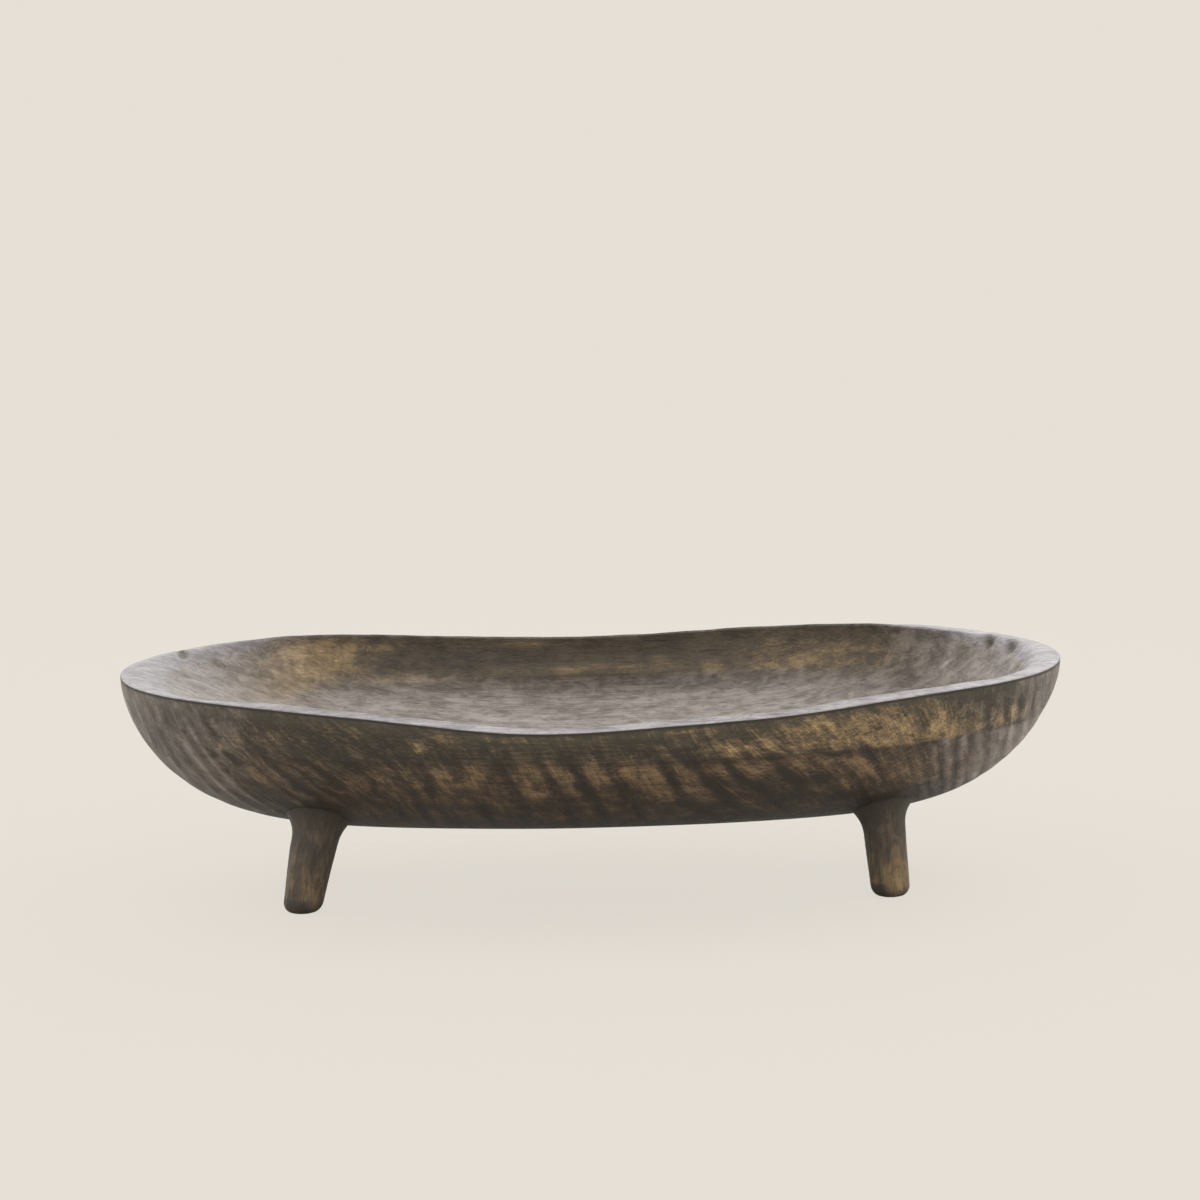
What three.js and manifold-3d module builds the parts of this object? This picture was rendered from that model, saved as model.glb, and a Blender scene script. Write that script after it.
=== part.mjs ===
// A long footed dish, carved by hand from a blank of glued boards and set on four splayed legs.
// Millimetres, +Z up. The origin lies on the ground under the middle of the dish, with its length along X.

import * as THREE from "three";
import { mergeVertices } from "three/addons/utils/BufferGeometryUtils.js";
import Module from "manifold-3d";

const wasm = await Module();
wasm.setup();

// Plan and height of the dish
const DISH_LENGTH = 600; // over the two tips of the rim
const DISH_WIDTH = 300; // over the two long sides
const PLAN_FULLNESS = 2.11; // 2 is a true ellipse, more is squarer at the corners
const TIP_HEIGHT = 145; // ground to rim at the tips
const RIM_DIP = 12; // how much lower the rim runs at mid-length
const DIP_LENGTH = 490; // length of rim over which it sinks and rises again
const DIP_PLACE = -5; // its lowest point, along X
const RIM_WAVE = 1.3; // hand-carved unevenness of the front rim
const RIM_WAVE_LENGTH = 205;
const RIM_WAVE_CREST = 50; // place of one crest along the rim

// Outer form below the rim
const GROUND_CLEARANCE = 43; // ground to the flat underside
const DEPTH_TURN = 1.67; // exponents of the carved section: down, along and across the dish
const LENGTH_CORNER = 5.1;
const WIDTH_CORNER = 2;

// Rim and basin
const RIM_WIDTH_AT_TIPS = 25;
const RIM_WIDTH_AT_SIDES = 9;
const RIM_CROWN = 1.8; // how much higher its inner edge stands than its outer one, along the sides
const BASIN_FULLNESS = 2.2; // the same as the plan's, for the outline of the basin
const ARRIS = 1.5; // softened edges of the rim
const BASIN_DEPTH = 60; // from the tips of the rim down to the middle of the basin
const BASIN_WALL = 2.6; // exponent: more makes the wall steeper and the floor flatter
const BASIN_WALL_AT_LEFT_END = 1.3; // that end was scooped out more gently
const LEFT_END_START = 200; // from the middle of the dish to where its wall begins to change

// Boards of the blank
const TOP_BOARD = 34; // thicknesses: the bottom board fills what is left
const MIDDLE_BOARD = 34;
const TOP_BUTT = -4; // end joints of the boards, along X
const MIDDLE_BUTTS = [-129, 171];
const BOTTOM_BUTT = -4;

// Legs
const FOOT_SPACING_ALONG = 374; // centre to centre on the ground
const FOOT_SPACING_ACROSS_LEFT = 110;
const FOOT_SPACING_ACROSS_RIGHT = 90;
const FOOT_DIAMETER = 25;
const FOOT_EDGE = 6; // rounding round the sole
const FLARE_WIDTH = 6; // how far a leg spreads where it meets the dish
const FLARE_HEIGHT = 17;
const FLARE_CURVE = 2.5;
const GLUE_GAP = 0.3;
const SPLAY_LEFT = 11; // degrees a leg leans out along the dish
const SPLAY_RIGHT = 4.5;
const SPLAY_ACROSS = 4; // degrees each leg leans out across the dish
const NECK_FRONT_LEFT = 30.5; // diameters above the taper, each filed by eye
const NECK_FRONT_RIGHT = 27.5;
const NECK_BACK_LEFT = 29;
const NECK_BACK_RIGHT = 27;
const SHIFT_FRONT_RIGHT = 0.6; // how far a leg stands to the right of its even place
const SHIFT_BACK_LEFT = 2.2;
const SHIFT_BACK_RIGHT = 5;

// Every leg was shaped and set by eye. end is -1 at the left and row is -1 at the front.
const LEGS = [
  { place: "front_left", end: -1, row: -1, neck: NECK_FRONT_LEFT, splay: SPLAY_LEFT, shift: 0 },
  {
    place: "front_right", end: 1, row: -1,
    neck: NECK_FRONT_RIGHT, splay: SPLAY_RIGHT, shift: SHIFT_FRONT_RIGHT,
  },
  { place: "back_left", end: -1, row: 1, neck: NECK_BACK_LEFT, splay: SPLAY_LEFT, shift: SHIFT_BACK_LEFT },
  { place: "back_right", end: 1, row: 1, neck: NECK_BACK_RIGHT, splay: SPLAY_RIGHT, shift: SHIFT_BACK_RIGHT },
];

// Dowels
const DOWEL_DIAMETER = 10;
const DOWEL_IN_DISH = 14; // ends inside the bottom board
const DOWEL_IN_LEG = 24;
const DOWEL_CHAMFER = 1;
const BORE_CLEARANCE = 0.3; // round the dowel
const BORE_RELIEF = 1; // past each end of the dowel

// Number of facets
const PLAN_FACETS = 80;
const OUTER_RINGS = 11;
const BASIN_RINGS = 10;
const LEG_FACETS = 20;
const FOOT_EDGE_TURNS = [0, 30, 60, 90]; // degrees round the edge of the sole
const FLARE_STEPS = [1, 0.7, 0.45, 0.25, 0.1, 0]; // shares of the flare's height below the dish
const COPE_STEPS = [0.67, 0.33]; // shares of the radius across a leg's top
const DOWEL_FACETS = 16;
const SEARCH_STEPS = 40; // halvings or passes until a height is found

// What follows from the sizes above
const halfLength = DISH_LENGTH / 2;
const halfWidth = DISH_WIDTH / 2;
const upperSeam = TIP_HEIGHT - TOP_BOARD;
const lowerSeam = upperSeam - MIDDLE_BOARD;
const basinBottom = TIP_HEIGHT - BASIN_DEPTH;
const beyond = 20; // how far a cutting box reaches past the blank

const stain = { top: 0x6b5a43, middle: 0x5a4b3a, bottom: 0x4c4034, leg: 0x5b4c39, dowel: 0xb08a5c };

function woodMaterial(color, roughness) {
  return new THREE.MeshStandardMaterial({ color, roughness, metalness: 0 });
}

// Solids: a closed geometry becomes a solid to cut, and a cut solid becomes a geometry again.
function solidOf(geometry) {
  const bare = geometry.clone();
  bare.deleteAttribute("normal");
  bare.deleteAttribute("uv");
  const merged = mergeVertices(bare);
  const vertProperties = merged.attributes.position.array;
  const triVerts = new Uint32Array(merged.index.array);
  return new wasm.Manifold(new wasm.Mesh({ numProp: 3, vertProperties, triVerts }));
}

function geometryOf(solid) {
  const { vertProperties, triVerts } = solid.getMesh();
  const geometry = new THREE.BufferGeometry();
  geometry.setAttribute("position", new THREE.BufferAttribute(vertProperties, 3));
  geometry.setIndex(new THREE.BufferAttribute(triVerts, 1));
  geometry.computeVertexNormals();
  return geometry;
}

// A closed skin over stacked rings of equally many points, shut by a point at each end.
function skinOver(rings, firstPole, lastPole) {
  const around = rings[0].length;
  const points = [firstPole, ...rings.flat(), lastPole];
  const lastIndex = points.length - 1;
  const at = (ring, step) => 1 + ring * around + (step % around);
  const faces = [];
  for (let step = 0; step < around; step++) {
    faces.push(0, at(0, step + 1), at(0, step));
    for (let ring = 0; ring + 1 < rings.length; ring++) {
      faces.push(at(ring, step), at(ring, step + 1), at(ring + 1, step + 1));
      faces.push(at(ring, step), at(ring + 1, step + 1), at(ring + 1, step));
    }
    faces.push(lastIndex, at(rings.length - 1, step), at(rings.length - 1, step + 1));
  }
  const geometry = new THREE.BufferGeometry();
  geometry.setAttribute("position", new THREE.Float32BufferAttribute(points.flat(), 3));
  geometry.setIndex(faces);
  return geometry;
}

// One point of an oval outline, for half a length and half a width measured at the axes.
function ovalPoint(angle, alongHalf, acrossHalf, fullness) {
  const bend = (v) => Math.sign(v) * Math.abs(v) ** (2 / fullness);
  return [alongHalf * bend(Math.cos(angle)), acrossHalf * bend(Math.sin(angle))];
}

// A ring of points on an oval, each as high as the rim's outer edge beside it asks for.
function ovalRing(alongHalf, acrossHalf, fullness, heightAt) {
  return Array.from({ length: PLAN_FACETS }, (_, step) => {
    const angle = (step / PLAN_FACETS) * 2 * Math.PI;
    const [x, y] = ovalPoint(angle, alongHalf, acrossHalf, fullness);
    return [x, y, heightAt(...ovalPoint(angle, halfLength, halfWidth, PLAN_FULLNESS))];
  });
}

// Height of the rim over a point of the plan outline.
function rimHeight(x, y) {
  const away = Math.min(Math.abs(x - DIP_PLACE) / (DIP_LENGTH / 2), 1);
  const dip = (RIM_DIP / 2) * (1 + Math.cos(Math.PI * away));
  const frontness = Math.max(-y / halfWidth, 0) ** 2 * (1 - away ** 2);
  const wave = Math.cos((2 * Math.PI * (x - RIM_WAVE_CREST)) / RIM_WAVE_LENGTH);
  return TIP_HEIGHT - dip + RIM_WAVE * frontness * wave;
}

// Height of the rim's inner edge next to that point.
function innerRimHeight(x, y) {
  return rimHeight(x, y) + RIM_CROWN * (y / halfWidth) ** 2;
}

// The carved section: how deep and how far in the wood goes at a turn from 0 (rim) to 90 degrees (underside).
function outerSection(turn) {
  return {
    depth: Math.sin(turn) ** (2 / DEPTH_TURN),
    along: Math.cos(turn) ** (2 / LENGTH_CORNER),
    across: Math.cos(turn) ** (2 / WIDTH_CORNER),
  };
}

function outerHeight(x, y, depth) {
  return THREE.MathUtils.lerp(rimHeight(x, y) - ARRIS, GROUND_CLEARANCE, depth);
}

// Height of the underside over a point of the ground, found by halving the turn of the section.
function undersideHeight(x, y) {
  let rimward = 0;
  let groundward = Math.PI / 2;
  for (let halving = 0; halving < SEARCH_STEPS; halving++) {
    const turn = (rimward + groundward) / 2;
    const section = outerSection(turn);
    const along = Math.abs(x) / (halfLength * section.along);
    const across = Math.abs(y) / (halfWidth * section.across);
    if (along ** PLAN_FULLNESS + across ** PLAN_FULLNESS > 1) groundward = turn;
    else rimward = turn;
  }
  const section = outerSection(rimward);
  return outerHeight(x / section.along, y / section.across, section.depth);
}

// How the basin's wall curves below a point of the rim, all round but for its gentler left end.
function basinWall(x) {
  const leftEnd = THREE.MathUtils.smoothstep(-x, LEFT_END_START, halfLength);
  return THREE.MathUtils.lerp(BASIN_WALL, BASIN_WALL_AT_LEFT_END, leftEnd);
}

function carvedBody() {
  const rings = [];
  for (let step = OUTER_RINGS - 1; step >= 0; step--) {
    const section = outerSection((step / OUTER_RINGS) * (Math.PI / 2));
    const height = (x, y) => outerHeight(x, y, section.depth);
    rings.push(ovalRing(halfLength * section.along, halfWidth * section.across, PLAN_FULLNESS, height));
  }
  const innerLength = halfLength - RIM_WIDTH_AT_TIPS;
  const innerWidth = halfWidth - RIM_WIDTH_AT_SIDES;
  rings.push(ovalRing(halfLength - ARRIS, halfWidth - ARRIS, PLAN_FULLNESS, rimHeight));
  rings.push(ovalRing(innerLength + ARRIS, innerWidth + ARRIS, BASIN_FULLNESS, innerRimHeight));
  for (let step = 0; step < BASIN_RINGS; step++) {
    const turn = (step / BASIN_RINGS) * (Math.PI / 2);
    const height = (x, y) => {
      const depth = Math.sin(turn) ** (2 / basinWall(x));
      return THREE.MathUtils.lerp(innerRimHeight(x, y) - ARRIS, basinBottom, depth);
    };
    rings.push(ovalRing(innerLength * Math.cos(turn), innerWidth * Math.cos(turn), BASIN_FULLNESS, height));
  }
  return solidOf(skinOver(rings, [0, 0, GROUND_CLEARANCE], [0, 0, basinBottom]));
}

// The axis of a leg: a straight line that passes through the middle of its foot on the ground.
function legAxis(leg) {
  const across = leg.end < 0 ? FOOT_SPACING_ACROSS_LEFT : FOOT_SPACING_ACROSS_RIGHT;
  const foot = [(leg.end * FOOT_SPACING_ALONG) / 2 + leg.shift, (leg.row * across) / 2];
  const inward = [
    -leg.end * Math.tan(THREE.MathUtils.degToRad(leg.splay)),
    -leg.row * Math.tan(THREE.MathUtils.degToRad(SPLAY_ACROSS)),
  ];
  return (z) => [foot[0] + inward[0] * z, foot[1] + inward[1] * z];
}

// Height at which a leg's line, at a given distance from its axis, comes up against the dish.
function legTopHeight(axis, angle, distance) {
  let z = GROUND_CLEARANCE;
  for (let pass = 0; pass < SEARCH_STEPS; pass++) {
    const [x, y] = axis(z);
    z = undersideHeight(x + distance * Math.cos(angle), y + distance * Math.sin(angle)) - GLUE_GAP;
  }
  return z;
}

// A round leg, tapered to the foot, that spreads into the dish and is coped to its underside.
function legSolid(leg) {
  const axis = legAxis(leg);
  const foot = FOOT_DIAMETER / 2;
  const neck = leg.neck / 2;
  const neckHeight = GROUND_CLEARANCE;
  const angles = Array.from({ length: LEG_FACETS }, (_, step) => (step / LEG_FACETS) * 2 * Math.PI);
  const ringPoint = (angle, radius, z) => {
    const [x, y] = axis(z);
    return [x + radius * Math.cos(angle), y + radius * Math.sin(angle), z];
  };
  const taper = (z) => THREE.MathUtils.lerp(foot, neck, z / neckHeight);
  const rings = [];
  for (const turn of FOOT_EDGE_TURNS.map(THREE.MathUtils.degToRad)) {
    const z = FOOT_EDGE * (1 - Math.cos(turn));
    const radius = taper(z) - FOOT_EDGE * (1 - Math.sin(turn));
    rings.push(angles.map((angle) => ringPoint(angle, radius, z)));
  }
  for (const below of FLARE_STEPS) {
    const flare = FLARE_WIDTH * (1 - below) ** FLARE_CURVE;
    rings.push(
      angles.map((angle) => {
        const top = legTopHeight(axis, angle, neck + FLARE_WIDTH);
        const z = top - FLARE_HEIGHT * below;
        return ringPoint(angle, taper(Math.min(z, neckHeight)) + flare, z);
      }),
    );
  }
  for (const share of COPE_STEPS) {
    const radius = (neck + FLARE_WIDTH) * share;
    rings.push(angles.map((angle) => ringPoint(angle, radius, legTopHeight(axis, angle, radius))));
  }
  const topPole = ringPoint(0, 0, legTopHeight(axis, 0, 0));
  return solidOf(skinOver(rings, ringPoint(0, 0, 0), topPole));
}

// A round pin along the axis of a leg, centred on its joint with the dish.
function pinGeometry(leg, radius, inDish, inLeg, chamfer) {
  const profile = [
    [0, -inLeg],
    [radius - chamfer, -inLeg],
    [radius, chamfer - inLeg],
    [radius, inDish - chamfer],
    [radius - chamfer, inDish],
    [0, inDish],
  ].map(([r, h]) => new THREE.Vector2(r, h));
  const geometry = new THREE.LatheGeometry(profile, DOWEL_FACETS);
  const axis = legAxis(leg);
  const top = legTopHeight(axis, 0, 0);
  const joint = new THREE.Vector3(...axis(top), top);
  const direction = new THREE.Vector3(...axis(1), 1).sub(new THREE.Vector3(...axis(0), 0)).normalize();
  geometry.applyQuaternion(new THREE.Quaternion().setFromUnitVectors(new THREE.Vector3(0, 1, 0), direction));
  geometry.translate(joint.x, joint.y, joint.z);
  return geometry;
}

function boreSolid(leg) {
  const radius = DOWEL_DIAMETER / 2 + BORE_CLEARANCE;
  const inDish = DOWEL_IN_DISH + BORE_RELIEF;
  return solidOf(pinGeometry(leg, radius, inDish, DOWEL_IN_LEG + BORE_RELIEF, DOWEL_CHAMFER));
}

// The box of blank that one board fills, between two end joints and two faces.
function boardSolid(fromX, toX, fromY, toY, fromZ, toZ) {
  const box = new THREE.BoxGeometry(toX - fromX, toY - fromY, toZ - fromZ);
  box.translate((fromX + toX) / 2, (fromY + toY) / 2, (fromZ + toZ) / 2);
  return solidOf(box);
}

const MIDDLE_LENGTHS = ["left", "centre", "right"];
const LAYERS = [
  { name: "top", from: upperSeam, to: TIP_HEIGHT + beyond, butts: [TOP_BUTT], lengths: ["left", "right"] },
  { name: "middle", from: lowerSeam, to: upperSeam, butts: MIDDLE_BUTTS, lengths: MIDDLE_LENGTHS },
  { name: "bottom", from: 0, to: lowerSeam, butts: [BOTTOM_BUTT], lengths: ["left", "right"] },
];
const ROWS = [
  { name: "front", from: -halfWidth - beyond, to: 0 },
  { name: "back", from: 0, to: halfWidth + beyond },
];

const dish = new THREE.Group();
dish.name = "footed_dish";

function add(name, geometry, color, roughness) {
  const mesh = new THREE.Mesh(geometry, woodMaterial(color, roughness));
  mesh.name = name;
  dish.add(mesh);
}

function addBoards() {
  const drilled = LEGS.reduce((body, leg) => body.subtract(boreSolid(leg)), carvedBody());
  for (const layer of LAYERS) {
    const ends = [-halfLength - beyond, ...layer.butts, halfLength + beyond];
    layer.lengths.forEach((length, index) => {
      for (const row of ROWS) {
        const box = boardSolid(ends[index], ends[index + 1], row.from, row.to, layer.from, layer.to);
        const board = drilled.intersect(box);
        add(`${layer.name}_board_${row.name}_${length}`, geometryOf(board), stain[layer.name], 0.6);
      }
    });
  }
}

function addLegs() {
  for (const leg of LEGS) {
    add(`leg_${leg.place}`, geometryOf(legSolid(leg).subtract(boreSolid(leg))), stain.leg, 0.6);
    const dowel = pinGeometry(leg, DOWEL_DIAMETER / 2, DOWEL_IN_DISH, DOWEL_IN_LEG, DOWEL_CHAMFER);
    add(`leg_dowel_${leg.place}`, dowel, stain.dowel, 0.8);
  }
}

addBoards();
addLegs();

export default dish;
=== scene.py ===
# The looks of a footed dish, carved by hand from glued boards of dark stained timber.
# Metres, +Z up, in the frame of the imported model: +X along the dish, +Y away from the camera.

import math

import bmesh
import bpy
import numpy as np
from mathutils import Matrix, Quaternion, Vector, noise


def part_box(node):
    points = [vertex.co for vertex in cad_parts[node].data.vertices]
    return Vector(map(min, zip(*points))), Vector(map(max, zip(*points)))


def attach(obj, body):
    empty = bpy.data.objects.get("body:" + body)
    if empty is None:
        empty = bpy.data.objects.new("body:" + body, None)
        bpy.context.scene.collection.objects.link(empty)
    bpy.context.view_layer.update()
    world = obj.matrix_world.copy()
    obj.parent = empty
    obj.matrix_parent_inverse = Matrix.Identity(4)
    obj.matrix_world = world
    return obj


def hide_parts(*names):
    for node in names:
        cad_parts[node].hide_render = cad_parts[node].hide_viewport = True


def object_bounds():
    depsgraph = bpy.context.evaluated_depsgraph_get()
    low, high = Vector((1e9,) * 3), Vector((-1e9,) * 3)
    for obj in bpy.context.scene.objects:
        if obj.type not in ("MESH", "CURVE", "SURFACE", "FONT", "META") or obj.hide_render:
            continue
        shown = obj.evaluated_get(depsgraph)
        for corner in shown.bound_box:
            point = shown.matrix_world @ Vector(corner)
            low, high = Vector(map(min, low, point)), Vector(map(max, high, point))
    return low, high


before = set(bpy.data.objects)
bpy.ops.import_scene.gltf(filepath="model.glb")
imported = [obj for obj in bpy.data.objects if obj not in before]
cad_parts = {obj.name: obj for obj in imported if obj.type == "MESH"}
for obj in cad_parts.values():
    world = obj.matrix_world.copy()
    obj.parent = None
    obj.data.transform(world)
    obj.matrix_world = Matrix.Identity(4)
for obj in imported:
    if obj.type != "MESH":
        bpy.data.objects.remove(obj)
CAD_LOW, CAD_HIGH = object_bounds()

# What the frame gives
HALF_LENGTH = CAD_HIGH.x
HALF_WIDTH = CAD_HIGH.y
GROUND_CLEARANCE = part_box("bottom_board_front_left")[0].z
LOWER_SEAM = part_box("bottom_board_front_left")[1].z
UPPER_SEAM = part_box("top_board_front_left")[0].z
TOP_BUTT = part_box("top_board_front_left")[1].x
BOTTOM_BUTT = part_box("bottom_board_front_left")[1].x
MIDDLE_BUTTS = [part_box("middle_board_front_left")[1].x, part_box("middle_board_front_right")[0].x]

# Form of the dish, as its solids have it
TIP_HEIGHT = 0.145
PLAN_FULLNESS = 2.11
RIM_DIP = 0.012
DIP_LENGTH = 0.490
DIP_PLACE = -0.005
RIM_WAVE = 0.0013
RIM_WAVE_LENGTH = 0.205
RIM_WAVE_CREST = 0.050
DEPTH_TURN = 1.67
LENGTH_CORNER = 5.1
WIDTH_CORNER = 2
RIM_WIDTH_AT_TIPS = 0.025
RIM_WIDTH_AT_SIDES = 0.009
INNER_LENGTH = HALF_LENGTH - RIM_WIDTH_AT_TIPS
INNER_WIDTH = HALF_WIDTH - RIM_WIDTH_AT_SIDES
RIM_CROWN = 0.0018
BASIN_FULLNESS = 2.2
ARRIS = 0.0015
BASIN_DEPTH = 0.060
BASIN_WALL = 2.6
BASIN_WALL_AT_LEFT_END = 1.3
LEFT_END_START = 0.200
BASIN_BOTTOM = TIP_HEIGHT - BASIN_DEPTH

# Form of all legs, as their solids have it
FOOT_SPACING_ALONG = 0.374
FOOT_SPACING_ACROSS = {-1: 0.110, 1: 0.090}
FOOT_RADIUS = 0.0125
FOOT_EDGE = 0.006
FLARE_WIDTH = 0.006
FLARE_HEIGHT = 0.017
FLARE_CURVE = 2.5
SPLAY_ACROSS = 4

# Each leg: its end, row, neck, splay and shift are its solid's. Then come how worn it is, towards which side
# (where painted light falls too) and up to what height, and on which side of the foot it is darker low down.
# Sides are in degrees from +X.
LEGS = {
    "front_left": {"end": -1, "row": -1, "neck": 0.0305, "splay": 11, "shift": 0,
                   "wear": 0.54, "lit_worn_side": -70, "worn_to": 0.075, "foot_side": -150},
    "front_right": {"end": 1, "row": -1, "neck": 0.0275, "splay": 4.5, "shift": 0.0006,
                    "wear": 0.85, "lit_worn_side": -50, "worn_to": 0.062, "foot_side": 170},
    "back_left": {"end": -1, "row": 1, "neck": 0.029, "splay": 11, "shift": 0.0022,
                  "wear": 0.50, "lit_worn_side": 120, "worn_to": 0.060, "foot_side": 30},
    "back_right": {"end": 1, "row": 1, "neck": 0.027, "splay": 4.5, "shift": 0.005,
                   "wear": 0.50, "lit_worn_side": 60, "worn_to": 0.060, "foot_side": 160},
}

# Fineness of the meshes
AROUND_STEPS = 760
OUTER_RINGS = 74
ARRIS_RINGS = 5
RIM_RINGS = 12
BASIN_RINGS = 78
LEG_STEPS = 96
LEG_RINGS = 64
FOOT_EDGE_SHARE = 0.12
LEG_TOP_SHARES = (0.67, 0.33)
SAW_TOLERANCE = 1e-7
PROFILE_SAMPLES = 4000
SEARCH_STEPS = 40
WORN_RINGS = 20
WORN_PASSES = 150
EDGE_REACH = 0.016

# Hand work on the outside. A stroke's place is its X where it crosses the upper seam on the front. The back
# has the same strokes, turned half round.
LEAN_PLACES = (-0.288, -0.250, -0.160, -0.100, 0.050, 0.110, 0.160, 0.235)
LEANS = (0.35, 0.60, 1.20, 0.50, 0.50, 1.00, 0.75, 0.0)
CROSS_LEAN = -0.9
BROAD_STROKES = (
    -0.2080, -0.1830, -0.1560, -0.1315, -0.1140, -0.0900, -0.0630, -0.0370, -0.0185,
    0.0055, 0.0395, 0.0560, 0.0780, 0.1060, 0.1250, 0.1450)
BROAD_HALF_WIDTH = 0.0042
BROAD_DEPTH = 0.00050
LEFT_FLUTES = (
    -0.3000, -0.2930, -0.2860, -0.2785, -0.2700, -0.2610, -0.2515, -0.2415, -0.2310, -0.2200,
    -0.1960, -0.1720)
RIGHT_FLUTES = (
    0.1680, 0.1800, 0.1920, 0.2030, 0.2140, 0.2260, 0.2370, 0.2480, 0.2605, 0.2695, 0.2795, 0.2880)
FLUTE_HALF_WIDTH = 0.0019
FLUTE_DEPTH = 0.00042
LEFT_FLUTE_SHARE = 0.6
# Strokes along the ridges between the flutes, which carry painted highlights
LIGHT_STROKES = (
    -0.2965, -0.2895, -0.2820, -0.2740, -0.2655, -0.2560, -0.2465, -0.2360, -0.2255, -0.2130,
    -0.2030, -0.1870, 0.1980, 0.2090, 0.2200, 0.2320, 0.2430, 0.2550, 0.2650, 0.2740, 0.2840)
LIGHT_HALF_WIDTH = 0.0014
DENT_DEPTH = 0.0004
RIGHT_END_CUT = 0.0011

# Hand work on the rim, in the basin and on the legs
RIM_UNEVENNESS = 0.0004
BASIN_STROKE_WIDTH = 0.019
BASIN_STROKE_DEPTH = 0.0003
END_STROKES = 44
END_STROKE_LEAN = 0.050
END_STROKE_DEPTH = 0.0006
END_DENT_DEPTH = 0.0007
LEG_FACETS = 9
FACET_DEPTH = 0.00045
LEG_SUNK = 0.0004

# Camera, found from the rim, outline and feet in the photo
PHOTO_SIZE = 1200
TARGET = Vector((0, 0, 0.07))
TARGET_PIXEL = (592.6, 778.6)
CAMERA_DISTANCE = 4.8
CAMERA_AZIMUTH = -1.5
CAMERA_ELEVATION = 12.45
CAMERA_ROLL = 0.93
CAMERA_LENS = 224.8
CAMERA_SENSOR = 36

# Floor: its colour in the picture, the colour that gives the same where the lamps light it, and the colour
# of what it throws back. Then how much of its shadow the camera sees, and between which distances the
# shadow fades out.
BACKGROUND = (230, 224, 215)
LIT_FLOOR = (222, 217, 208)
BOUNCE_FLOOR = (188, 182, 174)
SHADOW_SHARE = 0.13
SHADOW_NEAR = 0.30
SHADOW_FAR = 1.2
FLOOR_REACH = 12.0

# Softboxes: place, the point that each faces, width, height and power
SOFTBOXES = {
    "softbox_behind": ((0.0, 2.6, 1.3), (0, 0, 0.12), 3.2, 1.0, 22),
    "softbox_left": ((-2.6, 0.6, 1.3), (0, 0, 0.1), 1.2, 1.6, 7),
    "softbox_right": ((2.6, 0.6, 1.3), (0, 0, 0.1), 1.2, 1.6, 10),
}


def linear(colour):
    """An sRGB colour of three numbers up to 255 as the linear colour of a shader socket."""
    shares = [channel / 255 for channel in colour]
    return tuple(s / 12.92 if s <= 0.04045 else ((s + 0.055) / 1.055) ** 2.4 for s in shares) + (1.0,)


def soft_step(low, high, value):
    """0 below low, 1 above high, and a smooth rise between."""
    share = np.clip((value - low) / (high - low), 0, 1)
    return share * share * (3 - 2 * share)


def lerp(start, end, share):
    return start + (end - start) * share


# Plan and section of the dish


def bend(value, fullness):
    return np.sign(value) * np.abs(value) ** (2 / fullness)


def rim_height(x, y):
    """Height of the rim over a point of its outline, or over an array of points."""
    away = np.minimum(np.abs(x - DIP_PLACE) / (DIP_LENGTH / 2), 1)
    dip = RIM_DIP / 2 * (1 + np.cos(np.pi * away))
    frontness = np.maximum(-y / HALF_WIDTH, 0) ** 2 * (1 - away**2)
    wave = np.cos(2 * np.pi * (x - RIM_WAVE_CREST) / RIM_WAVE_LENGTH)
    return TIP_HEIGHT - dip + RIM_WAVE * frontness * wave


def outer_section(turn):
    """How deep and how far in the outside goes at a turn from 0 (rim) to a right angle (underside)."""
    depth = np.sin(turn) ** (2 / DEPTH_TURN)
    along = np.cos(turn) ** (2 / LENGTH_CORNER)
    across = np.cos(turn) ** (2 / WIDTH_CORNER)
    return depth, along, across


def basin_section(turn, wall=BASIN_WALL):
    depth = np.sin(turn) ** (2 / wall)
    return depth, np.cos(turn), np.cos(turn)


def even_turns(section, drop, count):
    """Turns from the rim to the middle that step evenly over the surface."""
    turn = np.linspace(0, 1, PROFILE_SAMPLES) ** 0.7 * np.pi / 2
    depth, along, across = section(turn)
    lengths = [np.hypot(np.diff(half * share), np.diff(drop * depth))
               for half, share in ((HALF_LENGTH, along), (HALF_WIDTH, across))]
    travelled = np.concatenate([[0], np.cumsum(lengths[0] + lengths[1])])
    wanted = np.linspace(0, travelled[-1], count + 1)[:-1]
    return np.interp(wanted, travelled, turn)


ANGLES = np.linspace(0, 2 * np.pi, AROUND_STEPS, endpoint=False)
UNIT_X = bend(np.cos(ANGLES), PLAN_FULLNESS)
UNIT_Y = bend(np.sin(ANGLES), PLAN_FULLNESS)
RIM_X = HALF_LENGTH * UNIT_X
RIM_Y = HALF_WIDTH * UNIT_Y
RIM_Z = rim_height(RIM_X, RIM_Y)
BASIN_UNIT_X = bend(np.cos(ANGLES), BASIN_FULLNESS)
BASIN_UNIT_Y = bend(np.sin(ANGLES), BASIN_FULLNESS)
WALL_CURVES = lerp(BASIN_WALL, BASIN_WALL_AT_LEFT_END, soft_step(LEFT_END_START, HALF_LENGTH, -RIM_X))
INNER_RIM_Z = RIM_Z + RIM_CROWN * UNIT_Y**2


def way_round():
    """Distance along the rim from the middle of the front, running to the right, and the whole way round."""
    steps = np.hypot(np.roll(RIM_X, -1) - RIM_X, np.roll(RIM_Y, -1) - RIM_Y)
    travelled = np.concatenate([[0], np.cumsum(steps)])
    front = int(np.argmin(RIM_Y))
    perimeter = travelled[-1]
    return (travelled[:-1] - travelled[front]) % perimeter, perimeter


AROUND, PERIMETER = way_round()
TURN_ROUND = 2 * np.pi * AROUND / PERIMETER
DRUM = PERIMETER / (2 * np.pi)


def round_distance(around, place):
    """Signed distance along the rim to a place, the short way."""
    return (around - place + PERIMETER / 2) % PERIMETER - PERIMETER / 2


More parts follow.
